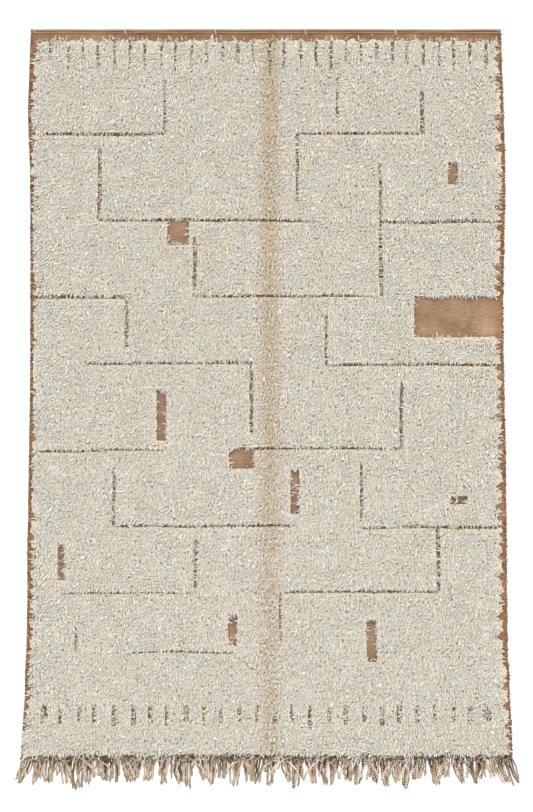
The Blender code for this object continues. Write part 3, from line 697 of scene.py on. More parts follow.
def pile_tree():
    """Geometry nodes that set tuft shapes on the knots of one band across the rug: a grid of
    them wherever the pile stands, and a row along each of its bare edges."""
    g = bpy.data.node_groups.new("knotted_pile", "GeometryNodeTree")
    sockets = (("Geometry", "Geometry"), ("Width", "Float"), ("Length", "Float"),
               ("Middle", "Vector"), ("Knots", "Int"), ("Rows", "Int"), ("Seed", "Int"),
               ("Foot", "Float"), ("Head", "Float"), ("Edge Pitch", "Float"),
               ("Highest", "Float"), ("Pile", "Object"), ("Border", "Object"),
               ("Shapes", "Collection"), ("Material", "Material"))
    for name, kind in sockets:
        g.interface.new_socket(name, in_out="INPUT", socket_type="NodeSocket" + kind)
    g.interface.new_socket("Geometry", in_out="OUTPUT", socket_type="NodeSocketGeometry")
    given = add(g, "NodeGroupInput").outputs
    body = add(g, "GeometryNodeObjectInfo", {"Object": given["Pile"]}).outputs["Geometry"]
    outline = add(g, "GeometryNodeObjectInfo", {"Object": given["Border"]}).outputs["Geometry"]

    # Knots in rows, shifted so that rows draw together and part here and there
    grid = add(g, "GeometryNodeMeshGrid", {"Size X": given["Width"], "Size Y": given["Length"],
                                           "Vertices X": given["Knots"],
                                           "Vertices Y": given["Rows"]})
    placed = add(g, "GeometryNodeTransform", {"Geometry": grid, "Translation": given["Middle"]})
    place = add(g, "GeometryNodeInputPosition")
    jitter = add(g, "FunctionNodeRandomValue",
                 {"Min": (-KNOT_JITTER * KNOT_PITCH, -ROW_JITTER * ROW_PITCH, 0.0),
                  "Max": (KNOT_JITTER * KNOT_PITCH, ROW_JITTER * ROW_PITCH, 0.0),
                  "Seed": given["Seed"]}, data_type="FLOAT_VECTOR")
    stretched = add(g, "ShaderNodeVectorMath", {0: place, 1: DRIFT_SCALE},
                    operation="MULTIPLY")
    drift = add(g, "ShaderNodeTexNoise", {"Vector": stretched, "Scale": 1.0, "Detail": 1.0})
    drift = add(g, "ShaderNodeVectorMath", {0: drift.outputs["Color"], 1: (0.5, 0.5, 0.5)},
                operation="SUBTRACT")
    drift = add(g, "ShaderNodeVectorMath", {0: drift, 1: DRIFT}, operation="MULTIPLY")
    shift = add(g, "ShaderNodeVectorMath", {0: jitter, 1: drift}, operation="ADD")
    knots = add(g, "GeometryNodeSetPosition", {"Geometry": placed, "Offset": shift})

    # Those over the pile stay, a little in from its bare edges
    below = add(g, "ShaderNodeVectorMath", {0: place, 1: (0.0, 0.0, -PROBE)}, operation="ADD")
    under = add(g, "GeometryNodeRaycast", {"Target Geometry": body, "Source Position": below,
                                           "Ray Direction": (0.0, 0.0, 1.0),
                                           "Ray Length": 2 * PROBE})
    edge = add(g, "GeometryNodeProximity", {"Geometry": outline, "Sample Position": place},
               target_element="EDGES")
    outward = add(g, "ShaderNodeVectorMath", {0: edge.outputs["Position"], 1: place},
                  operation="SUBTRACT")
    outward = add(g, "ShaderNodeVectorMath", {0: outward}, operation="NORMALIZE")
    room = gap_room(g, body, edge.outputs["Position"], outward)
    worn = add(g, "ShaderNodeTexNoise", {"Vector": place, "Scale": WORN_SCALE, "Detail": 1.0})
    worn = add(g, "ShaderNodeMapRange", {"Value": worn, "From Min": WORN[0],
                                         "From Max": WORN[1], "To Min": EDGE_MARGIN[1],
                                         "To Max": EDGE_MARGIN[2]})
    margin = add(g, "ShaderNodeMapRange", {"Value": room, "From Min": NARROW_REACH,
                                           "From Max": 1.0, "To Min": EDGE_MARGIN[0],
                                           "To Max": worn})
    near = add(g, "FunctionNodeCompare", {0: edge.outputs["Distance"], 1: margin},
               operation="LESS_THAN")
    ground_below = add(g, "ShaderNodeSeparateXYZ", {0: under.outputs["Hit Position"]})
    raised = add(g, "FunctionNodeCompare", {0: ground_below.outputs[2], 1: PILE_BASE + MM},
                 operation="GREATER_THAN")
    missed = add(g, "FunctionNodeBooleanMath", {0: under.outputs["Is Hit"]}, operation="NOT")
    bare = add(g, "FunctionNodeBooleanMath", {0: near, 1: missed}, operation="OR")
    bare = add(g, "FunctionNodeBooleanMath", {0: bare, 1: raised}, operation="OR")
    axes = add(g, "ShaderNodeSeparateXYZ", {0: place})
    off = add(g, "ShaderNodeMath", {0: axes, 1: FOLD_X}, operation="SUBTRACT")
    off = add(g, "ShaderNodeMath", {0: off}, operation="ABSOLUTE")
    thin = add(g, "ShaderNodeMapRange", {"Value": off, "From Min": 0.0,
                                         "From Max": FOLD_HALF_WIDTH, "To Min": FOLD_THIN,
                                         "To Max": 0.0})
    ahead = add(g, "ShaderNodeVectorMath", {0: place, 1: (0.0, -9 * MM, -PILE_BASE)},
                operation="ADD")
    parting = add(g, "ShaderNodeTexNoise", {"Vector": ahead, "Scale": PARTINGS[0],
                                            "Detail": 0.0})
    parting = add(g, "FunctionNodeCompare", {0: parting, 1: PARTINGS[1]},
                  operation="GREATER_THAN")
    thin = add(g, "ShaderNodeMath", {0: thin, 1: parting}, operation="MAXIMUM")
    luck = add(g, "FunctionNodeRandomValue", {2: 0.0, 3: 1.0, "Seed": 3})
    open_here = add(g, "FunctionNodeCompare", {0: luck.outputs[1], 1: thin},
                    operation="LESS_THAN")
    bare = add(g, "FunctionNodeBooleanMath", {0: bare, 1: open_here}, operation="OR")
    knots = add(g, "GeometryNodeDeleteGeometry", {"Geometry": knots, "Selection": bare})
    knots = add(g, "GeometryNodeMeshToPoints", {"Mesh": knots})
    edge_pull = add(g, "ShaderNodeMapRange", {"Value": edge.outputs["Distance"],
                                              "From Min": EDGE_ZONE, "From Max": EDGE_MARGIN[0],
                                              "To Min": 0.0, "To Max": 1.0},
                    interpolation_type="SMOOTHSTEP")
    share = add(g, "FunctionNodeRandomValue", {2: 0.0, 3: 0.2, "Seed": 7})
    pull = add(g, "ShaderNodeMath", {0: edge_pull, 1: room}, operation="MULTIPLY")
    pull = add(g, "ShaderNodeMath", {0: pull, 1: share.outputs[1]}, operation="MULTIPLY")
    edge_lift = add(g, "ShaderNodeMath", {0: pull, 1: math.radians(EDGE_LIFT)},
                    operation="MULTIPLY")
    lift = add(g, "FunctionNodeRandomValue", {2: math.radians(LIFT_STRAY[0]),
                                              3: math.radians(LIFT_STRAY[1]), "Seed": 9})
    lift = add(g, "ShaderNodeMath", {0: lift.outputs[1], 1: edge_lift}, operation="ADD")
    long = add(g, "FunctionNodeRandomValue", {2: LONG_SPREAD[0], 3: LONG_SPREAD[1],
                                              "Seed": 13})
    shorter = add(g, "ShaderNodeMapRange", {"Value": edge_pull, "From Min": 0.0,
                                            "From Max": 1.0, "To Min": 1.0, "To Max": 0.8})
    long = add(g, "ShaderNodeMath", {0: long.outputs[1], 1: shorter}, operation="MULTIPLY")
    for name, value in (("sunk", edge_pull), ("pull", pull), ("room", room), ("gap", room),
                        ("lift", lift), ("long", long)):
        knots = add(g, "GeometryNodeStoreNamedAttribute",
                    {"Geometry": knots, "Name": name, "Value": value},
                    data_type="FLOAT", domain="POINT")
    knots = add(g, "GeometryNodeStoreNamedAttribute",
                {"Geometry": knots, "Name": "outward", "Value": outward},
                data_type="FLOAT_VECTOR", domain="POINT")

    # The outermost knots, one after another along each bare edge that this band holds
    rim = add(g, "GeometryNodeMeshToCurve", {"Mesh": outline})
    rim = add(g, "GeometryNodeCurveToPoints", {"Curve": rim, "Length": given["Edge Pitch"]},
              mode="LENGTH")
    outward = add(g, "GeometryNodeInputNamedAttribute", {"Name": "outward"},
                  data_type="FLOAT_VECTOR")
    gap = gap_room(g, body, place, outward)

    # They hang together in pointed locks, some of which cross a narrow furrow
    along = add(g, "ShaderNodeVectorMath", {0: outward, 1: (0.0, 0.0, 1.0)},
                operation="CROSS_PRODUCT")
    run = add(g, "ShaderNodeVectorMath", {0: place, 1: along},
              operation="DOT_PRODUCT").outputs["Value"]
    uneven = add(g, "ShaderNodeTexNoise", {"Vector": place, "Scale": LOCK_SCALE,
                                           "Detail": 0.0})
    run = add(g, "ShaderNodeMath", {0: uneven, 1: 1.2 * LOCK_PITCH, 2: run},
              operation="MULTIPLY_ADD")
    lock = add(g, "ShaderNodeMath", {0: run, 1: LOCK_PITCH}, operation="DIVIDE")
    lock = add(g, "ShaderNodeMath", {0: lock}, operation="ROUND")
    off_lock = add(g, "ShaderNodeMath", {0: lock, 1: LOCK_PITCH}, operation="MULTIPLY")
    off_lock = add(g, "ShaderNodeMath", {0: off_lock, 1: run}, operation="SUBTRACT")
    off_lock = add(g, "ShaderNodeMath", {0: off_lock, 1: 1 / LOCK_PITCH}, operation="MULTIPLY")
    gathered = add(g, "ShaderNodeVectorMath", {0: along, "Scale": off_lock},
                   operation="SCALE")
    rim = add(g, "GeometryNodeStoreNamedAttribute",
              {"Geometry": rim, "Name": "gathered", "Value": gathered},
              data_type="FLOAT_VECTOR", domain="POINT")
    reach = add(g, "FunctionNodeRandomValue", {2: LOCK_REACH[0], 3: LOCK_REACH[1],
                                               "ID": lock, "Seed": 31})
    room = add(g, "ShaderNodeMath", {0: gap, 1: reach.outputs[1]}, operation="MULTIPLY",
               use_clamp=True)
    depth = add(g, "FunctionNodeRandomValue", {2: EDGE_STRIP[0], 3: EDGE_STRIP[1],
                                               "Seed": 23}).outputs[1]
    for name, value in (("lock", lock), ("gap", gap), ("room", room), ("depth", depth)):
        rim = add(g, "GeometryNodeStoreNamedAttribute",
                  {"Geometry": rim, "Name": name, "Value": value},
                  data_type="FLOAT", domain="POINT")
    lock = add(g, "GeometryNodeInputNamedAttribute", {"Name": "lock"}, data_type="FLOAT")
    room = add(g, "GeometryNodeInputNamedAttribute", {"Name": "room"}, data_type="FLOAT")
    depth = add(g, "GeometryNodeInputNamedAttribute", {"Name": "depth"}, data_type="FLOAT")
    gap = add(g, "GeometryNodeInputNamedAttribute", {"Name": "gap"}, data_type="FLOAT")
    notch = add(g, "ShaderNodeTexNoise", {"Vector": place, "Scale": WORN_SCALE,
                                          "Detail": 1.0})
    notch = add(g, "ShaderNodeMapRange", {"Value": notch, "From Min": WORN[0],
                                          "From Max": WORN[1], "To Min": RIM_INSET[0],
                                          "To Max": RIM_INSET[1]})
    open_edge = add(g, "FunctionNodeCompare", {0: gap, 1: 0.95}, operation="GREATER_THAN")
    notch = add(g, "ShaderNodeMath", {0: notch, 1: open_edge}, operation="MULTIPLY")
    inset = add(g, "ShaderNodeMath", {0: depth, 1: notch}, operation="ADD")
    inset = add(g, "ShaderNodeMath", {0: inset, 1: -1.0}, operation="MULTIPLY")
    inset = add(g, "ShaderNodeVectorMath", {0: outward, "Scale": inset}, operation="SCALE")
    rim = add(g, "GeometryNodeSetPosition", {"Geometry": rim, "Offset": inset})
    height = add(g, "ShaderNodeSeparateXYZ", {0: place})
    before = add(g, "FunctionNodeCompare", {0: height.outputs[1], 1: given["Foot"]},
                 operation="LESS_THAN")
    past = add(g, "FunctionNodeCompare", {0: height.outputs[1], 1: given["Head"]},
               operation="GREATER_EQUAL")
    other = add(g, "FunctionNodeBooleanMath", {0: before, 1: past}, operation="OR")
    rim = add(g, "GeometryNodeDeleteGeometry", {"Geometry": rim, "Selection": other})
    sunk = add(g, "ShaderNodeMapRange", {"Value": depth, "From Min": EDGE_STRIP[0],
                                         "From Max": EDGE_STRIP[1], "To Min": 1.0,
                                         "To Max": 0.35})
    share = add(g, "ShaderNodeMapRange", {"Value": depth, "From Min": 0.45 * EDGE_STRIP[1],
                                          "From Max": 0.65 * EDGE_STRIP[1], "To Min": 1.0,
                                          "To Max": 0.0})
    with_pile = add(g, "FunctionNodeRandomValue", {2: 0.0, 3: 1.0, "ID": lock,
                                                   "Seed": 10}).outputs[1]
    with_pile = add(g, "ShaderNodeMath", {0: with_pile, 1: 0.75}, operation="MULTIPLY")
    hangs_out = add(g, "FunctionNodeCompare", {0: room, 1: with_pile},
                    operation="GREATER_THAN")
    pull = add(g, "ShaderNodeMath", {0: hangs_out, 1: share}, operation="MULTIPLY")
    steep = add(g, "ShaderNodeMapRange", {"Value": depth, "From Min": EDGE_STRIP[0],
                                          "From Max": EDGE_STRIP[1],
                                          "To Min": math.radians(OUTER_LIFT[0]),
                                          "To Max": math.radians(OUTER_LIFT[1])})
    lift = add(g, "FunctionNodeRandomValue", {2: math.radians(RIM_STRAY[0]),
                                              3: math.radians(RIM_STRAY[1]), "Seed": 25})
    lift = add(g, "ShaderNodeMath", {0: lift.outputs[1], 1: steep}, operation="ADD")
    gathered = add(g, "GeometryNodeInputNamedAttribute", {"Name": "gathered"},
                   data_type="FLOAT_VECTOR")
    aside = add(g, "ShaderNodeVectorMath", {0: gathered}, operation="LENGTH")
    shorter = add(g, "ShaderNodeMapRange", {"Value": aside.outputs["Value"], "From Min": 0.05,
                                            "From Max": 0.5, "To Min": 1.35, "To Max": 0.30})
    long = add(g, "FunctionNodeRandomValue", {2: RIM_SPREAD[0], 3: RIM_SPREAD[1],
                                              "ID": lock, "Seed": 27})
    long = add(g, "ShaderNodeMath", {0: long.outputs[1], 1: shorter}, operation="MULTIPLY")
    ragged = add(g, "ShaderNodeTexNoise", {"Vector": place, "Scale": RAGGED_SCALE,
                                           "Detail": 1.0})
    ragged = add(g, "ShaderNodeMapRange", {"Value": ragged, "From Min": 0.40,
                                           "From Max": 0.62, "To Min": 0.8, "To Max": 2.6})
    at_foot = add(g, "FunctionNodeCompare", {0: height.outputs[1], 1: FRINGE_SIDE},
                  operation="LESS_THAN")
    ragged = add(g, "ShaderNodeMix", {"Factor": at_foot, "A": 1.0, "B": ragged})
    long = add(g, "ShaderNodeMath", {0: long, 1: ragged}, operation="MULTIPLY")
    for name, value in (("sunk", sunk), ("pull", pull), ("lift", lift), ("long", long)):
        rim = add(g, "GeometryNodeStoreNamedAttribute",
                  {"Geometry": rim, "Name": name, "Value": value},
                  data_type="FLOAT", domain="POINT")
    knots = add(g, "GeometryNodeJoinGeometry", {0: knots})
    g.links.new(rim.outputs[0], knots.inputs[0])

    # The way a tuft leans: down the rug, swept about in patches, outward at a bare edge
    sweep = add(g, "ShaderNodeTexNoise", {"Vector": place, "Scale": SWEEP_SCALE,
                                          "Detail": 2.0})
    sweep = add(g, "ShaderNodeMapRange", {"Value": sweep, "From Min": 0.3, "From Max": 0.7,
                                          "To Min": math.radians(LEAN[0]),
                                          "To Max": math.radians(LEAN[1])}, clamp=False)
    stray = add(g, "FunctionNodeRandomValue", {2: math.radians(-LEAN_STRAY),
                                               3: math.radians(LEAN_STRAY), "Seed": 5})
    angle = add(g, "ShaderNodeMath", {0: sweep, 1: stray.outputs[1]}, operation="ADD")
    cosine = add(g, "ShaderNodeMath", {0: angle}, operation="COSINE")
    sine = add(g, "ShaderNodeMath", {0: angle}, operation="SINE")
    lean = add(g, "ShaderNodeCombineXYZ", {0: cosine, 1: sine})
    pull = add(g, "GeometryNodeInputNamedAttribute", {"Name": "pull"}, data_type="FLOAT")
    outward = add(g, "GeometryNodeInputNamedAttribute", {"Name": "outward"},
                  data_type="FLOAT_VECTOR")
    way = add(g, "ShaderNodeMix", {"Factor": pull, "A": lean, "B": outward},
              data_type="VECTOR")
    gathered = add(g, "GeometryNodeInputNamedAttribute", {"Name": "gathered"},
                   data_type="FLOAT_VECTOR")
    way = add(g, "ShaderNodeVectorMath", {0: gathered, 1: (GATHERED, GATHERED, GATHERED),
                                          2: way.outputs[1]}, operation="MULTIPLY_ADD")
    way = add(g, "ShaderNodeVectorMath", {0: way}, operation="NORMALIZE")
    turned = add(g, "ShaderNodeSeparateXYZ", {0: way})
    heading = add(g, "ShaderNodeMath", {0: turned.outputs[1], 1: turned},
                  operation="ARCTAN2")

    # How far it stands up, and its size
    axes = add(g, "ShaderNodeSeparateXYZ", {0: place})
    off = add(g, "ShaderNodeMath", {0: axes, 1: FOLD_X}, operation="SUBTRACT")
    off = add(g, "ShaderNodeMath", {0: off}, operation="ABSOLUTE")
    fold = add(g, "ShaderNodeMapRange", {"Value": off, "From Min": FOLD_HALF_WIDTH,
                                         "From Max": 0.2 * FOLD_HALF_WIDTH, "To Min": 0.0,
                                         "To Max": math.radians(FOLD_LIFT)},
               interpolation_type="SMOOTHSTEP")
    lift = add(g, "GeometryNodeInputNamedAttribute", {"Name": "lift"}, data_type="FLOAT")
    lift = add(g, "ShaderNodeMath", {0: lift, 1: fold}, operation="ADD")
    over = add(g, "ShaderNodeVectorMath", {0: way, 1: outward},
               operation="DOT_PRODUCT").outputs["Value"]
    sunk = add(g, "GeometryNodeInputNamedAttribute", {"Name": "sunk"}, data_type="FLOAT")
    sunk_over = add(g, "ShaderNodeMath", {0: over, 1: sunk}, operation="MULTIPLY")
    upright = add(g, "ShaderNodeMapRange", {"Value": sunk_over, "From Min": 0.0,
                                            "From Max": -0.6, "To Min": 0.0, "To Max": 1.0})
    lift = add(g, "ShaderNodeMath", {0: upright, 1: math.radians(INWARD_LIFT), 2: lift},
               operation="MULTIPLY_ADD")
    long = add(g, "GeometryNodeInputNamedAttribute", {"Name": "long"}, data_type="FLOAT")
    lying = add(g, "ShaderNodeMath", {0: long, 1: 1.0}, operation="MAXIMUM")
    lying = add(g, "ShaderNodeMath", {0: lying, 1: -2.0}, operation="POWER")
    lift = add(g, "ShaderNodeMath", {0: lift, 1: lying}, operation="MULTIPLY")
    tilt = add(g, "ShaderNodeMath", {0: lift, 1: -1.0}, operation="MULTIPLY")
    roll = add(g, "FunctionNodeRandomValue", {2: math.radians(-ROLL_STRAY),
                                              3: math.radians(ROLL_STRAY), "Seed": 11})
    euler = add(g, "ShaderNodeCombineXYZ", {0: roll.outputs[1], 1: tilt, 2: heading})
    turn = add(g, "FunctionNodeEulerToRotation", {0: euler})
    long = add(g, "GeometryNodeInputNamedAttribute", {"Name": "long"}, data_type="FLOAT")
    sunk = add(g, "ShaderNodeMath", {0: over, 1: sunk}, operation="MULTIPLY",
               use_clamp=True)
    room = add(g, "GeometryNodeInputNamedAttribute", {"Name": "room"}, data_type="FLOAT")
    reach = add(g, "ShaderNodeMix", {"Factor": sunk, "A": 1.0, "B": room})
    long = add(g, "ShaderNodeMath", {0: long, 1: reach}, operation="MULTIPLY")
    shut_in = add(g, "ShaderNodeMath", {0: 1.0, 1: reach}, operation="SUBTRACT",
                  use_clamp=True)
    shorter = add(g, "ShaderNodeMath", {0: upright, 1: -0.3, 2: 1.0},
                  operation="MULTIPLY_ADD")
    long = add(g, "ShaderNodeMath", {0: long, 1: shorter}, operation="MULTIPLY")
    wide = add(g, "FunctionNodeRandomValue", {2: WIDE_SPREAD[0], 3: WIDE_SPREAD[1],
                                              "Seed": 15})
    tall = add(g, "ShaderNodeMath", {0: long, 1: TALLEST}, operation="MINIMUM")
    size = add(g, "ShaderNodeCombineXYZ", {0: long, 1: wide.outputs[1], 2: tall})

    # Down to the knot, below the pile's own surface with its soft lumps
    above = add(g, "ShaderNodeVectorMath", {0: place, 1: (0.0, 0.0, PROBE)}, operation="ADD")
    top = add(g, "GeometryNodeRaycast", {"Target Geometry": body, "Source Position": above,
                                         "Ray Direction": (0.0, 0.0, -1.0),
                                         "Ray Length": 2 * PROBE})
    lumps = add(g, "ShaderNodeTexNoise", {"Vector": place, "Scale": LUMP_SCALE,
                                          "Detail": 1.0})
    lumps = add(g, "ShaderNodeMapRange", {"Value": lumps, "From Min": 0.3, "From Max": 0.7,
                                          "To Min": PILE_RISE + 0.5 * LUMPS,
                                          "To Max": PILE_RISE - 0.5 * LUMPS}, clamp=False)
    high = add(g, "ShaderNodeSeparateXYZ", {0: top.outputs["Hit Position"]})
    shallow = add(g, "ShaderNodeMath", {0: shut_in, 1: -0.75, 2: 1.0},
                  operation="MULTIPLY_ADD")
    lumps = add(g, "ShaderNodeMath", {0: lumps, 1: shallow}, operation="MULTIPLY")
    low = add(g, "ShaderNodeMath", {0: high.outputs[2], 1: lumps}, operation="SUBTRACT")
    gap = add(g, "GeometryNodeInputNamedAttribute", {"Name": "gap"}, data_type="FLOAT")
    deep = add(g, "ShaderNodeMapRange", {"Value": gap, "From Min": NARROW_REACH,
                                         "From Max": 0.8, "To Min": 0.25, "To Max": 1.0})
    deep = add(g, "ShaderNodeMath", {0: sunk, 1: deep}, operation="MULTIPLY")
    low = add(g, "ShaderNodeMix", {"Factor": deep, "A": low, "B": PILE_BASE + MM})
    low = add(g, "ShaderNodeMath", {0: low.outputs[0], 1: PILE_BASE + MM}, operation="MAXIMUM")
    shade = add(g, "FunctionNodeRandomValue", {2: 0.0, 3: 1.0, "Seed": 17})
    index = add(g, "GeometryNodeInputIndex")
    column = add(g, "ShaderNodeMath", {0: index, 1: CELLS}, operation="MODULO")
    row = add(g, "ShaderNodeMath", {0: index, 1: CELLS}, operation="DIVIDE")
    row = add(g, "ShaderNodeMath", {0: row}, operation="FLOOR")
    cell = add(g, "ShaderNodeCombineXYZ", {0: column, 1: row})
    for name, value, kind in (("shut_in", shut_in, "FLOAT"), ("way", turn, "QUATERNION"),
                              ("size", size, "FLOAT_VECTOR"), ("shade", shade.outputs[1], "FLOAT"),
                              ("cell", cell, "FLOAT_VECTOR")):
        knots = add(g, "GeometryNodeStoreNamedAttribute",
                    {"Geometry": knots, "Name": name, "Value": value},
                    data_type=kind, domain="POINT")
    flat = add(g, "ShaderNodeCombineXYZ", {0: axes, 1: axes.outputs[1], 2: low})
    knots = add(g, "GeometryNodeSetPosition", {"Geometry": knots, "Position": flat})

    # A tuft on each knot
    tufts = add(g, "GeometryNodeCollectionInfo", {"Collection": given["Shapes"],
                                                  "Separate Children": True,
                                                  "Reset Children": True})
    kind = add(g, "FunctionNodeRandomValue", {4: 0, 5: len(TUFT_SHAPES) - 1, "Seed": 19},
               data_type="INT")
    turn = add(g, "GeometryNodeInputNamedAttribute", {"Name": "way"}, data_type="QUATERNION")
    size = add(g, "GeometryNodeInputNamedAttribute", {"Name": "size"},
               data_type="FLOAT_VECTOR")
    pile = add(g, "GeometryNodeInstanceOnPoints",
               {"Points": knots, "Instance": tufts, "Pick Instance": True,
                "Instance Index": kind.outputs[2], "Rotation": turn, "Scale": size})
    pile = add(g, "GeometryNodeRealizeInstances", {"Geometry": pile})

    # No tip stands above the pile's greatest height
    reached = add(g, "ShaderNodeSeparateXYZ", {0: place})
    capped = add(g, "ShaderNodeMath", {0: reached.outputs[2], 1: given["Highest"]},
                 operation="MINIMUM")
    capped = add(g, "ShaderNodeCombineXYZ", {0: reached, 1: reached.outputs[1], 2: capped})
    pile = add(g, "GeometryNodeSetPosition", {"Geometry": pile, "Position": capped})

    # Each tuft's own small square of the map
    cell = add(g, "GeometryNodeInputNamedAttribute", {"Name": "cell"},
               data_type="FLOAT_VECTOR")
    own = add(g, "GeometryNodeInputNamedAttribute", {"Name": "tuft_map"},
              data_type="FLOAT_VECTOR")
    inner = 1 - 2 * CELL_MARGIN
    own = add(g, "ShaderNodeVectorMath", {0: own, 1: (inner, inner, 0.0),
                                          2: (CELL_MARGIN, CELL_MARGIN, 0.0)},
              operation="MULTIPLY_ADD")
    spot = add(g, "ShaderNodeVectorMath", {0: cell, 1: own}, operation="ADD")
    spot = add(g, "ShaderNodeVectorMath", {0: spot, "Scale": 1 / CELLS}, operation="SCALE")
    pile = add(g, "GeometryNodeStoreNamedAttribute",
               {"Geometry": pile, "Name": "OFBake", "Value": spot},
               data_type="FLOAT2", domain="CORNER")
    for name in ("cell", "tuft_map", "way", "size", "pull", "outward", "lift", "long",
                 "depth", "room", "sunk", "gathered", "lock", "gap"):
        pile = add(g, "GeometryNodeRemoveAttribute", {"Geometry": pile, "Name": name})
    pile = add(g, "GeometryNodeSetMaterial", {"Geometry": pile,
                                              "Material": given["Material"]})
    add(g, "NodeGroupOutput", {0: pile})
    return g


shapes = bpy.data.collections.new("tuft_shapes")
bpy.context.scene.collection.children.link(shapes)
for number, shape in enumerate(TUFT_SHAPES):
    tuft = bpy.data.objects.new(f"tuft_{number}", tuft_shape(f"tuft_{number}", **shape))
    shapes.objects.link(tuft)

pile_bm = merged_copy("pile")
border = bpy.data.objects.new("pile_border", border_mesh(pile_bm, PILE_BASE))
pile_mesh = bpy.data.meshes.new("pile_body")
pile_bm.to_mesh(pile_mesh)
pile_bm.free()
body = bpy.data.objects.new("pile_body", pile_mesh)
bpy.context.scene.collection.objects.link(border)
bpy.context.scene.collection.objects.link(body)

band_length = (pile_high.y - pile_low.y) / BAND_COUNT
pile_width = pile_high.x - pile_low.x
knots_across = round(pile_width / KNOT_PITCH)
rows_in_band = round(band_length / ROW_PITCH)
shag = cream_wool()
knotting = pile_tree()
for band in range(BAND_COUNT):
    foot = pile_low.y + band * band_length
    middle = (0.5 * (pile_low.x + pile_high.x), foot + 0.5 * band_length, PILE_BASE)
    values = {"Width": pile_width, "Length": band_length * (1 - 1 / rows_in_band),
              "Middle": middle, "Knots": knots_across, "Rows": rows_in_band,
              "Seed": band, "Foot": foot, "Head": foot + band_length,
              "Edge Pitch": EDGE_PITCH, "Highest": PILE_TOP, "Pile": body,
              "Border": border, "Shapes": shapes}
    part = grown(f"pile_{band + 1}", bpy.data.meshes.new("start"), knotting, values, shag)
    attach(part, "root")
    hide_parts("pile")

for helper in [border, body, *shapes.objects]:
    bpy.data.objects.remove(helper, do_unlink=True)
bpy.data.collections.remove(shapes)

# --- Twined end cords ------------------------------------------------------------------
# Two cords of grey-brown warp ends, each twisted of two plies, lie side by side along the
# closed end, sewn down on the ground weave. The outer one is the thicker.

CORDS = (("end_cord_outer", 1.4, 2.6 * MM), ("end_cord_inner", 0.95, 1.4 * MM))
CORD_PINCH = 0.72             # height over width of its oval section, which turns with the plies
CORD_SWAY = 1.2 * MM
CORD_TINTS = [(0.10, "6E4E36"), (0.35, "8E735A"), (0.60, "A08872"), (0.85, "B7A28B")]
CORD_STEP = 2.6 * MM          # from one ring of its mesh to the next
CORD_LAY = 17 * MM            # length of one whole turn of the plies
CORD_SWELL = 0.10             # unevenness of hand-twisted yarn
YARN_FUZZ = 3.03 * MM         # clumps of fibres, drawn coarser than single ones
YARN_CLOUD = 29.4 * MM        # length over which one yarn keeps its tone
YARN_FLOOR_SHADE = (-0.40, 0.08)     # painted shade: tone where it lies on the floor, and where clear of it
ROOT_SHADE = (10 * MM, 90 * MM, -0.36)   # painted shade at its root: from, to, how much


def twist_tree():
    """Geometry nodes that sweep a yarn along curves. Its section is an oval that turns as it
    goes, or is round, and its points know their place round the yarn and along it."""
    g = bpy.data.node_groups.new("two_ply_yarn", "GeometryNodeTree")
    for name, kind in (("Geometry", "Geometry"), ("Radius", "Float"), ("Pinch", "Float"),
                       ("Sides", "Int"), ("Lay", "Float"), ("Material", "Material")):
        g.interface.new_socket(name, in_out="INPUT", socket_type="NodeSocket" + kind)
    g.interface.new_socket("Geometry", in_out="OUTPUT", socket_type="NodeSocketGeometry")
    given = add(g, "NodeGroupInput").outputs
    path = add(g, "GeometryNodeMeshToCurve", {"Mesh": given["Geometry"]})
    reach = add(g, "GeometryNodeSplineParameter").outputs["Length"]
    path = add(g, "GeometryNodeStoreNamedAttribute",
               {"Geometry": path, "Name": "reach", "Value": reach},
               data_type="FLOAT", domain="POINT")
    turns = add(g, "ShaderNodeMath", {0: reach, 1: given["Lay"]}, operation="DIVIDE")
    round_section = add(g, "FunctionNodeCompare", {0: given["Pinch"], 1: 1.0},
                        operation="LESS_THAN")
    tilt = add(g, "ShaderNodeMath", {0: turns, 1: math.tau}, operation="MULTIPLY")
    tilt = add(g, "ShaderNodeMath", {0: tilt, 1: round_section}, operation="MULTIPLY")
    path = add(g, "GeometryNodeSetCurveTilt", {"Curve": path, "Tilt": tilt})
    thick = add(g, "GeometryNodeInputNamedAttribute", {"Name": "thick"}, data_type="FLOAT")
    ring = add(g, "GeometryNodeCurvePrimitiveCircle", {"Resolution": given["Sides"],
                                                       "Radius": 1.0})
    place = add(g, "GeometryNodeInputPosition")
    ring = add(g, "GeometryNodeStoreNamedAttribute",
               {"Geometry": ring, "Name": "ring", "Value": place},
               data_type="FLOAT_VECTOR", domain="POINT")
    oval = add(g, "ShaderNodeCombineXYZ", {0: 1.0, 1: given["Pinch"], 2: 1.0})
    oval = add(g, "ShaderNodeVectorMath", {0: oval, "Scale": given["Radius"]},
               operation="SCALE")
    ring = add(g, "GeometryNodeTransform", {"Geometry": ring, "Scale": oval})
    yarn = add(g, "GeometryNodeCurveToMesh", {"Curve": path, "Profile Curve": ring,
                                              "Scale": thick, "Fill Caps": True})
    yarn = add(g, "GeometryNodeSetShadeSmooth", {"Geometry": yarn})
    yarn = add(g, "GeometryNodeSetMaterial", {"Geometry": yarn,
                                              "Material": given["Material"]})
    add(g, "NodeGroupOutput", {0: yarn})
    return g


def strands_mesh(name, paths):
    """Paths as a mesh of bare edges. A path is a list of (point, thickness); each of its
    points knows its path's number and its own thickness."""
    points, edges, numbers, thick = [], [], [], []
    for number, path in enumerate(paths):
        edges += [(len(points) + i, len(points) + i + 1) for i in range(len(path) - 1)]
        points += [point for point, _ in path]
        numbers += [number] * len(path)
        thick += [width for _, width in path]
    mesh = bpy.data.meshes.new(name)
    mesh.from_pydata(points, edges, [])
    mesh.attributes.new("strand", "INT", "POINT").data.foreach_set("value", numbers)
    mesh.attributes.new("thick", "FLOAT", "POINT").data.foreach_set("value", thick)
    return mesh


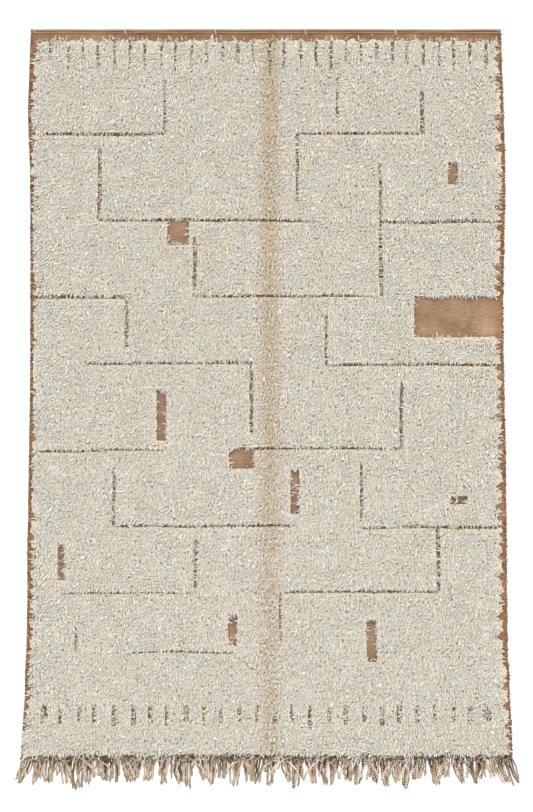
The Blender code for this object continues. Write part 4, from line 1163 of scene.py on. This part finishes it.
def plied_yarn(name, stops, patchy, lay=0.0, clear=0.0):
    """Hand-twisted two-ply yarn: matte, with painted shade in the groove between its plies, each
    strand a little off the next, and, where a height is given, painted shade below the height at
    which it lies clear of the floor and near its root. A yarn whose own section turns needs no
    lay."""
    mat, tree, shader = new_material(name)
    place = add(tree, "ShaderNodeTexCoord").outputs["Object"]
    ring = add(tree, "ShaderNodeAttribute", attribute_name="ring").outputs["Vector"]
    reach = add(tree, "ShaderNodeAttribute", attribute_name="reach").outputs["Fac"]
    strand = add(tree, "ShaderNodeAttribute", attribute_name="strand").outputs["Fac"]
    own = add(tree, "ShaderNodeTexWhiteNoise", {"W": strand}, noise_dimensions="1D")
    phase = add(tree, "ShaderNodeMath", {0: own, 1: math.tau if lay else 0.0},
                operation="MULTIPLY")
    angle = add(tree, "ShaderNodeMath", {0: reach, 1: math.tau / lay if lay else 0.0,
                                         2: phase}, operation="MULTIPLY_ADD")
    axis = add(tree, "ShaderNodeCombineXYZ", {
        0: add(tree, "ShaderNodeMath", {0: angle}, operation="COSINE"),
        1: add(tree, "ShaderNodeMath", {0: angle}, operation="SINE")})
    ply = add(tree, "ShaderNodeVectorMath", {0: ring, 1: axis},
              operation="DOT_PRODUCT").outputs["Value"]
    ply = add(tree, "ShaderNodeMath", {0: ply}, operation="ABSOLUTE")
    fibre = add(tree, "ShaderNodeTexNoise", {"Vector": place, "Scale": 1 / YARN_FUZZ,
                                             "Detail": 2.0})
    cloud = add(tree, "ShaderNodeTexNoise", {"Vector": place, "Scale": 1 / YARN_CLOUD,
                                             "Detail": 2.0})
    # Painted shade in the groove between the plies, lighter on their crests
    tone = add(tree, "ShaderNodeMapRange", {"Value": ply, "From Min": 0.0, "From Max": 0.7,
                                            "To Min": 0.10, "To Max": 0.62})
    vary = add(tree, "ShaderNodeMix", {"Factor": 0.5, "A": own.outputs[0],
                                       "B": cloud.outputs[0]})
    vary = add(tree, "ShaderNodeMath", {0: vary.outputs[0], 1: -0.5}, operation="ADD")
    tone = add(tree, "ShaderNodeMath", {0: vary, 1: patchy, 2: tone},
               operation="MULTIPLY_ADD")
    frizz = add(tree, "ShaderNodeMath", {0: fibre, 1: -0.5}, operation="ADD")
    tone = add(tree, "ShaderNodeMath", {0: frizz, 1: 0.30, 2: tone},
               operation="MULTIPLY_ADD")
    # Painted shade low by the floor and at the root
    if clear:
        axes = add(tree, "ShaderNodeSeparateXYZ", {0: place})
        floor_shade = add(tree, "ShaderNodeMapRange", {"Value": axes.outputs[2], "From Min": 0.0,
                                                "From Max": clear, "To Min": YARN_FLOOR_SHADE[0],
                                                "To Max": YARN_FLOOR_SHADE[1]})
        root = add(tree, "ShaderNodeMapRange", {"Value": reach, "From Min": ROOT_SHADE[0],
                                                "From Max": ROOT_SHADE[1],
                                                "To Min": ROOT_SHADE[2], "To Max": 0.0})
        tone = add(tree, "ShaderNodeMath", {0: tone, 1: floor_shade}, operation="ADD")
        tone = add(tree, "ShaderNodeMath", {0: tone, 1: root}, operation="ADD")
    colour = add(tree, "ShaderNodeValToRGB", {"Fac": tone}, stops=stops)
    relief = add(tree, "ShaderNodeMath", {0: fibre, 1: 0.4, 2: ply}, operation="MULTIPLY_ADD")
    bump = add(tree, "ShaderNodeBump", {"Height": relief, "Distance": 1.2 * MM,
                                        "Strength": 0.7})
    tree.links.new(colour.outputs[0], shader.inputs["Base Color"])
    tree.links.new(bump.outputs[0], shader.inputs["Normal"])
    shader.inputs["Roughness"].default_value = 0.93
    return mat


def wobble(x, y=0.0, seed=0.0):
    """Smooth repeatable unevenness between about -1 and 1."""
    return 1.6 * noise.noise(Vector((x, y, 7.3 + 11.1 * seed)))


yarn_tree = twist_tree()
cord_wool = plied_yarn("twined_warp_cord", CORD_TINTS, patchy=0.45)
for number, (name, thickness, set_back) in enumerate(CORDS):
    low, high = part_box(name)
    radius = thickness * (high.z - low.z) / 2
    middle_y, middle_z = (low.y + high.y) / 2, (low.z + high.z) / 2
    steps = round((high.x - low.x) / CORD_STEP)
    path = []
    for i in range(steps + 1):
        x = low.x + (high.x - low.x) * i / steps
        sway = CORD_SWAY * wobble(6 * x, number, 31) + set_back
        swell = 1.0 + CORD_SWELL * wobble(30 * x, number, 32)
        path.append(((x, middle_y + sway, middle_z), swell))
    cord = grown(name.replace("end_cord", "twined_cord"), strands_mesh(name, [path]),
                 yarn_tree, {"Radius": radius, "Pinch": CORD_PINCH, "Sides": 8,
                             "Lay": CORD_LAY}, cord_wool)
    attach(cord, "root")
    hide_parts(name)

# --- Thread ties and corner knots -------------------------------------------------------
# White cotton thread holds the two end cords together at four places, in two turns with its
# cut ends left on; the same thread is drawn through one corner. At both corners the cords'
# own ends are knotted.

TIE_PLACES = (-0.594, -0.216, 0.162, 0.540)   # across the rug, from its middle line
TIE_SLANT = 3.0 * MM
TIE_STEP = 2.6 * MM           # from a tie's first turn to its second
THREAD_RADIUS = 1.3 * MM
THREAD_SAG = 1.5 * MM         # between the two cords
THREAD_LAY = 8 * MM
THREAD_TINTS = [(0.15, "B8AD9C"), (0.45, "E4DED2"), (0.80, "F2EEE6")]
CORNER_KNOT = 7.5 * MM        # from the middle of a corner knot to the middle of its cord
KNOT_CORD_RADIUS = 3.4 * MM

outer_low, outer_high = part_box("end_cord_outer")
cords_top = outer_high.z + THREAD_RADIUS
cords_back = outer_high.y
cords_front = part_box("end_cord_inner")[0].y


def tie_paths(x, seed):
    """A slanting turn of thread over both cords, and its two cut ends."""
    across = [cords_back + 1 * MM, cords_back - 3 * MM, (cords_back + cords_front) / 2,
              cords_front + 3 * MM, cords_front - 1 * MM]
    heights = [ground_high.z + 2 * MM, cords_top, cords_top - THREAD_SAG, cords_top,
               ground_high.z + 2 * MM]
    turn = [((x + TIE_SLANT * (i / 2 - 1), y, z), 1.0)
            for i, (y, z) in enumerate(zip(across, heights))]
    second = [((point[0] + TIE_STEP, point[1], point[2] + 0.4 * MM), 1.0)
              for point, _ in reversed(turn)]
    ends = []
    for side in (-1, 1):
        reach = (11 + 3 * wobble(seed, side, 33)) * MM
        ends.append([((x + side * reach * t, cords_front - (1 + 7 * t) * MM,
                       cords_top + (2.5 - 4 * t) * MM), 1.0 - 0.3 * t)
                     for t in (0.0, 0.35, 0.7, 1.0)])
    return [turn, second] + ends


def corner_paths(x, side):
    """The cords' ends turned over each other at one corner, a loop and a stub."""
    middle = Vector((x - side * 4 * MM, (cords_back + cords_front) / 2 + 1 * MM, cords_top))
    loop = []
    for i in range(11):
        angle = math.radians(40 + 36 * i * 1.15)
        out = CORNER_KNOT * (0.75 if i % 2 else 0.85)
        loop.append((tuple(middle + Vector((side * out * math.cos(angle), out * math.sin(angle),
                                            (-3 + 0.35 * i) * MM))), 1.0))
    stub = [(tuple(middle + Vector((side * 7 * t, 9 * t, 1.5 - 3 * t)) * MM), 1.0 - 0.3 * t)
            for t in (0.0, 0.5, 1.0)]
    return [loop, stub]


ties = [path for i, x in enumerate(TIE_PLACES) for path in tie_paths(x, i)]
left_x, right_x = outer_low.x, outer_high.x
ties.append([((left_x + (2 + 16 * t) * MM, cords_back + (1 - 16 * t) * MM,
               cords_top + THREAD_SAG * math.sin(math.pi * t)), 1.1)
             for t in (0.0, 0.25, 0.5, 0.75, 1.0)])
thread = grown("thread_ties", strands_mesh("thread_ties", ties), yarn_tree,
               {"Radius": THREAD_RADIUS, "Pinch": 0.8, "Sides": 6, "Lay": THREAD_LAY},
               plied_yarn("white_cotton_thread", THREAD_TINTS, patchy=0.2))
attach(thread, "root")

knots = corner_paths(left_x, -1) + corner_paths(right_x, 1)
corner = grown("corner_knots", strands_mesh("corner_knots", knots), yarn_tree,
               {"Radius": KNOT_CORD_RADIUS, "Pinch": 0.75, "Sides": 8, "Lay": CORD_LAY},
               cord_wool)
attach(corner, "root")

# --- Fringe -----------------------------------------------------------------------------
# The warp ends past the last weft: beige two-ply cords in bunches, which come out of a
# narrow woven strip, cross each other and end in a swollen worn tip. Rust-brown ground ends
# show between and under them.

STRANDS = 200
STRANDS_PER_BUNCH = 5
STRIP_DEPTH = 12 * MM
SHORTEST_STRAND = 88 * MM
LONGEST_STRAND = 166 * MM
LENGTH_SHARES = (0.10, 0.22, 0.14)   # of the range between: usual, by bunch, by strand
LONG_BUNCH_EVERY = 9
LONG_BUNCH_FIRST = 4
LONG_BUNCH_MORE = 0.22
BUNCH_CLOSING = 0.46          # a bunch's width at its tips, as a share of that at its roots
CLOSING_SPREAD = 0.5
CORNER_SPREAD = 40 * MM       # the outermost bunches splay past the rug's edge
SHARED_LEAN = 13 * MM         # how far neighbouring bunches lean the same way
BUNCH_LEAN = 50 * MM          # each bunch for itself
STRAND_LEAN = 9 * MM          # and each strand
BUNCH_BEND = 3 * MM           # how far strands bow sideways, by bunch
STRAND_BEND = 8 * MM          # and by strand
STRAND_KINK = 3.4 * MM
STRAND_WAVER = 2.0 * MM       # unevenness along their length
STRAND_RADIUS = 3.8 * MM
STRAND_STATIONS = 13
STRAND_LAY = 22 * MM
TIP_SWELL = (1.25, 0.55)      # a worn tip's thickness just before its end, and there
CROSSING_STRANDS = 140        # a second layer, which lies over the first
CROSSING_DRIFT = 120 * MM     # how far along the edge one of them may run
CROSSING_LENGTH = (74 * MM, 26 * MM)   # usual, and how much it varies
CROSSING_LIMIT = 28 * MM      # how far past the rug's side it may come
ROOT_LOOPS = 90               # worn strands that turn back on themselves at the roots
BROWN_ENDS = 60
BROWN_LENGTH = (52 * MM, 30 * MM)
BROWN_RADIUS = 2.2 * MM
FLOOR_SHADE_HEIGHT = 15 * MM          # strands that lie lower than this get painted shade
STRIP_COLUMNS = 180
STRAND_TINTS = [(0.0, "26160A"), (0.26, "664A30"), (0.46, "B9A588"), (0.72, "E2D7C6")]
BROWN_TINTS = [(0.15, "4E2E18"), (0.45, "8A5A34"), (0.80, "A97850")]

foot_points = sorted(p for p in edge_points if p[1] < ground_low.y + 30 * MM)


def foot_at(x):
    """The ground weave's foot at any place across the rug."""
    for (x0, y0), (x1, y1) in zip(foot_points, foot_points[1:]):
        if x <= x1:
            return y0 + (y1 - y0) * min(max((x - x0) / max(x1 - x0, 1e-6), 0.0), 1.0)
    return foot_points[-1][1]


def strand_length(number):
    """Most strands are near the middle of the range, and a few reach the longest."""
    bunch = number // STRANDS_PER_BUNCH
    usual, by_bunch, by_strand = LENGTH_SHARES
    share = usual + by_bunch * wobble(0.9 * bunch, seed=20)
    share += by_strand * wobble(1.9 * number, seed=21)
    if bunch % LONG_BUNCH_EVERY == LONG_BUNCH_FIRST:
        share += LONG_BUNCH_MORE
    return SHORTEST_STRAND + (LONGEST_STRAND - SHORTEST_STRAND) * min(max(share, -0.1), 1.0)


def strand_path(root, middle, bunch, length, seed):
    """One strand of the lower layer, from under the pile's last row to its tip on the
    floor, as the solids have it but a little kinked."""
    side_reach = math.copysign(abs(middle / fringe_right) ** 9, middle)
    lean = SHARED_LEAN * wobble(0.45 * bunch, seed=22) + CORNER_SPREAD * side_reach
    lean += BUNCH_LEAN * wobble(1.3 * bunch, seed=45) + STRAND_LEAN * wobble(2.3 * seed, seed=46)
    bend = BUNCH_BEND * wobble(0.8 * bunch, seed=23) + STRAND_BEND * wobble(1.7 * seed, seed=47)
    path = []
    for i in range(STRAND_STATIONS):
        t = i / (STRAND_STATIONS - 1)
        closed = BUNCH_CLOSING + CLOSING_SPREAD * wobble(1.9 * bunch, seed=48)
        closing = 1.0 + (closed - 1.0) * t
        x = middle + (root - middle) * closing + lean * t ** 1.4
        x += bend * math.sin(math.pi * t) + STRAND_KINK * wobble(5 * t, seed * 1.7, 27)
        y = foot_at(root) + 4 * MM - (length + STRIP_DEPTH + 4 * MM) * t
        y += STRAND_WAVER * wobble(6 * t, seed * 2.9, 28)
        z = STRAND_RADIUS + 3.5 * MM * max(0.0, 1.0 - 5.0 * t)
        z += 0.7 * STRAND_RADIUS * (seed % 3) * math.sin(math.pi * min(1.0, 0.2 + 0.8 * t))
        path.append(((x, y, z), worn_thickness(i, seed)))
    return path


def worn_thickness(station, seed):
    """A strand's thickness there, over its usual one: uneven, with a swollen worn tip."""
    t = station / (STRAND_STATIONS - 1)
    thick = min(1.0, 0.75 + 2.0 * t) + 0.12 * wobble(9 * t, seed * 1.3, 29)
    if station == STRAND_STATIONS - 2:
        thick *= TIP_SWELL[0]
    elif station == STRAND_STATIONS - 1:
        thick *= TIP_SWELL[1]
    return thick


def crossing_path(number):
    """One strand of the upper layer: it runs along the edge first, over its neighbours, and
    then turns down."""
    start = fringe_left + (fringe_right - fringe_left) * (number + 0.5) / CROSSING_STRANDS
    start += 8 * MM * wobble(3.1 * number, seed=30)
    drift = CROSSING_DRIFT * wobble(5.3 * number, seed=26)
    length = CROSSING_LENGTH[0] + CROSSING_LENGTH[1] * wobble(2.7 * number, seed=38)
    path = []
    for i in range(STRAND_STATIONS):
        t = i / (STRAND_STATIONS - 1)
        x = start + drift * (1 - (1 - t) ** 1.7) + 3.6 * MM * wobble(5 * t, number * 1.7, 39)
        x = min(max(x, fringe_left - CROSSING_LIMIT), fringe_right + CROSSING_LIMIT)
        y = foot_at(start) + 5 * MM - (length + STRIP_DEPTH) * t ** 1.3
        y += STRAND_WAVER * wobble(6 * t, number * 2.9, 40)
        z = STRAND_RADIUS * (1 + 2.3 * math.sin(math.pi * min(1.0, 0.25 + 0.75 * t)) ** 0.6)
        path.append(((x, y, z), worn_thickness(i, number + 0.5)))
    return path


def root_loop(number):
    """A worn strand that turns back on itself at the fringe's roots."""
    x = fringe_left + (fringe_right - fringe_left) * (number + 0.5) / ROOT_LOOPS
    x += 9 * MM * wobble(4.3 * number, seed=41)
    reach = (9 + 5 * wobble(2.9 * number, seed=42)) * MM
    start = 170 * wobble(7.7 * number, seed=43)
    path = []
    for i in range(9):
        angle = math.radians(start + 34 * i)
        y = foot_at(x) + (-7 + 6 * wobble(3.7 * number, seed=44)) * MM
        spot = (x + 1.3 * reach * math.cos(angle), y + 0.7 * reach * math.sin(angle),
                STRAND_RADIUS * (2.6 + 0.18 * i))
        path.append((spot, 0.8))
    return path


fringe_left = foot_points[0][0] + 2 * MM
fringe_right = foot_points[-1][0] - 2 * MM
pitch = (fringe_right - fringe_left) / STRANDS
roots = [fringe_left + pitch * (i + 0.5) for i in range(STRANDS)]


def bunch_middle(number):
    """The middle of the bunch that a strand belongs to."""
    first = number // STRANDS_PER_BUNCH * STRANDS_PER_BUNCH
    return sum(roots[first:first + STRANDS_PER_BUNCH]) / STRANDS_PER_BUNCH


paths = [strand_path(root, bunch_middle(i), i // STRANDS_PER_BUNCH, strand_length(i), i)
         for i, root in enumerate(roots)]
paths += [crossing_path(k) for k in range(CROSSING_STRANDS)]
paths += [root_loop(k) for k in range(ROOT_LOOPS)]
fringe_yarn = plied_yarn("beige_warp_ends", STRAND_TINTS, patchy=0.5, lay=STRAND_LAY,
                         clear=FLOOR_SHADE_HEIGHT)
strands = grown("fringe_strands", strands_mesh("fringe_strands", paths), yarn_tree,
                {"Radius": STRAND_RADIUS, "Pinch": 1.0, "Sides": 5, "Lay": STRAND_LAY},
                fringe_yarn)
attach(strands, "root")
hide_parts("fringe")

brown_paths = []
for k in range(BROWN_ENDS):
    x = fringe_left + (fringe_right - fringe_left) * (k + 0.5) / BROWN_ENDS
    x += 12 * MM * wobble(2.1 * k, seed=34)
    length = BROWN_LENGTH[0] + BROWN_LENGTH[1] * wobble(3.3 * k, seed=35)
    brown_paths.append(strand_path(x, x, k, length, 500 + k))
brown_ends = grown("fringe_ground_ends", strands_mesh("fringe_ground_ends", brown_paths),
                   yarn_tree, {"Radius": BROWN_RADIUS, "Pinch": 1.0, "Sides": 4,
                               "Lay": STRAND_LAY},
                   plied_yarn("rust_brown_ground_ends", BROWN_TINTS, patchy=0.5,
                              lay=STRAND_LAY))
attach(brown_ends, "root")
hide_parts("fringe")

strip_bm = bmesh.new()
rims = []
for i in range(STRIP_COLUMNS + 1):
    x = fringe_left + (fringe_right - fringe_left) * i / STRIP_COLUMNS
    back = foot_at(x) - 1 * MM
    deep = 1.0 if wobble(23 * x, seed=36) > 0.4 else 0.0
    front = back - STRIP_DEPTH * (0.9 + 1.7 * deep + 0.5 * wobble(60 * x, seed=37))
    rims.append([strip_bm.verts.new(co) for co in
                 ((x, back, 0.0), (x, back, 3 * MM), (x, front, 2.2 * MM), (x, front, 0.0))])
for near, far in zip(rims, rims[1:]):
    for k in range(4):
        n = (k + 1) % 4
        strip_bm.faces.new((near[k], near[n], far[n], far[k]))
strip_bm.faces.new(rims[0])
strip_bm.faces.new(rims[-1][::-1])
bmesh.ops.recalc_face_normals(strip_bm, faces=strip_bm.faces)
strip_mesh = bpy.data.meshes.new("fringe_strip")
strip_bm.to_mesh(strip_mesh)
strip_bm.free()
strip = piece("fringe_strip", strip_mesh, woven)
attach(strip, "root")
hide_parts("fringe")

# --- Floor, light and camera ------------------------------------------------------------
# A plain white floor, soft light from all round and one broad lamp past the closed end,
# and a camera straight above.

PX = 4.2 * MM                 # one pixel of the picture on the floor
PICTURE_HEIGHT = 812
CAMERA_HEIGHT = 8.0
CAMERA_Y = 0.037              # the picture's middle lies above the rug's
SENSOR = 24.0
FLOOR_GREY = "A8A8A8"
FLOOR_GLOW = 0.55             # lifts the floor to plain white
FLOOR_DROP = 0.5 * MM
DAYLIGHT = (0.975, 0.99, 1.0)
SKY_STRENGTH = 1.34
LAMP_STRENGTH = 1.65
LAMP_WIDTH = 28               # degrees across, which softens its shadows
LAMP_TURN = (-31, 8)          # degrees off straight down: from the closed end, from a side

floor_mesh = bpy.data.meshes.new("floor")
floor_bm = bmesh.new()
bmesh.ops.create_grid(floor_bm, x_segments=1, y_segments=1, size=30.0)
floor_bm.to_mesh(floor_mesh)
floor_bm.free()
white, _, white_shader = new_material("white_floor")
white_shader.inputs["Base Color"].default_value = srgb(FLOOR_GREY)
white_shader.inputs["Emission Color"].default_value = (1.0, 1.0, 1.0, 1.0)
white_shader.inputs["Emission Strength"].default_value = FLOOR_GLOW
white_shader.inputs["Roughness"].default_value = 1.0
floor = piece("floor", floor_mesh, white)
floor.location.z = -FLOOR_DROP
floor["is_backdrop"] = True

world = bpy.data.worlds.new("studio")
bpy.context.scene.world = world
world.use_nodes = True
sky = world.node_tree.nodes["Background"]
sky.inputs["Color"].default_value = (*DAYLIGHT, 1.0)
sky.inputs["Strength"].default_value = SKY_STRENGTH

lamp = bpy.data.lights.new("window", "SUN")
lamp.energy = LAMP_STRENGTH
lamp.color = DAYLIGHT
lamp.angle = math.radians(LAMP_WIDTH)
lamp_ob = bpy.data.objects.new("window", lamp)
lamp_ob.rotation_euler = (math.radians(LAMP_TURN[0]), math.radians(LAMP_TURN[1]), 0.0)
bpy.context.scene.collection.objects.link(lamp_ob)

camera = bpy.data.cameras.new("camera")
camera.sensor_fit = "VERTICAL"
camera.sensor_height = SENSOR
camera.lens = SENSOR * CAMERA_HEIGHT / (PICTURE_HEIGHT * PX)
camera.clip_end = 60.0
camera_ob = bpy.data.objects.new("camera", camera)
camera_ob.location = (0.0, CAMERA_Y, CAMERA_HEIGHT)
bpy.context.scene.collection.objects.link(camera_ob)
bpy.context.scene.camera = camera_ob

view = bpy.context.scene.view_settings
view.view_transform = "Standard"

low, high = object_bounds()
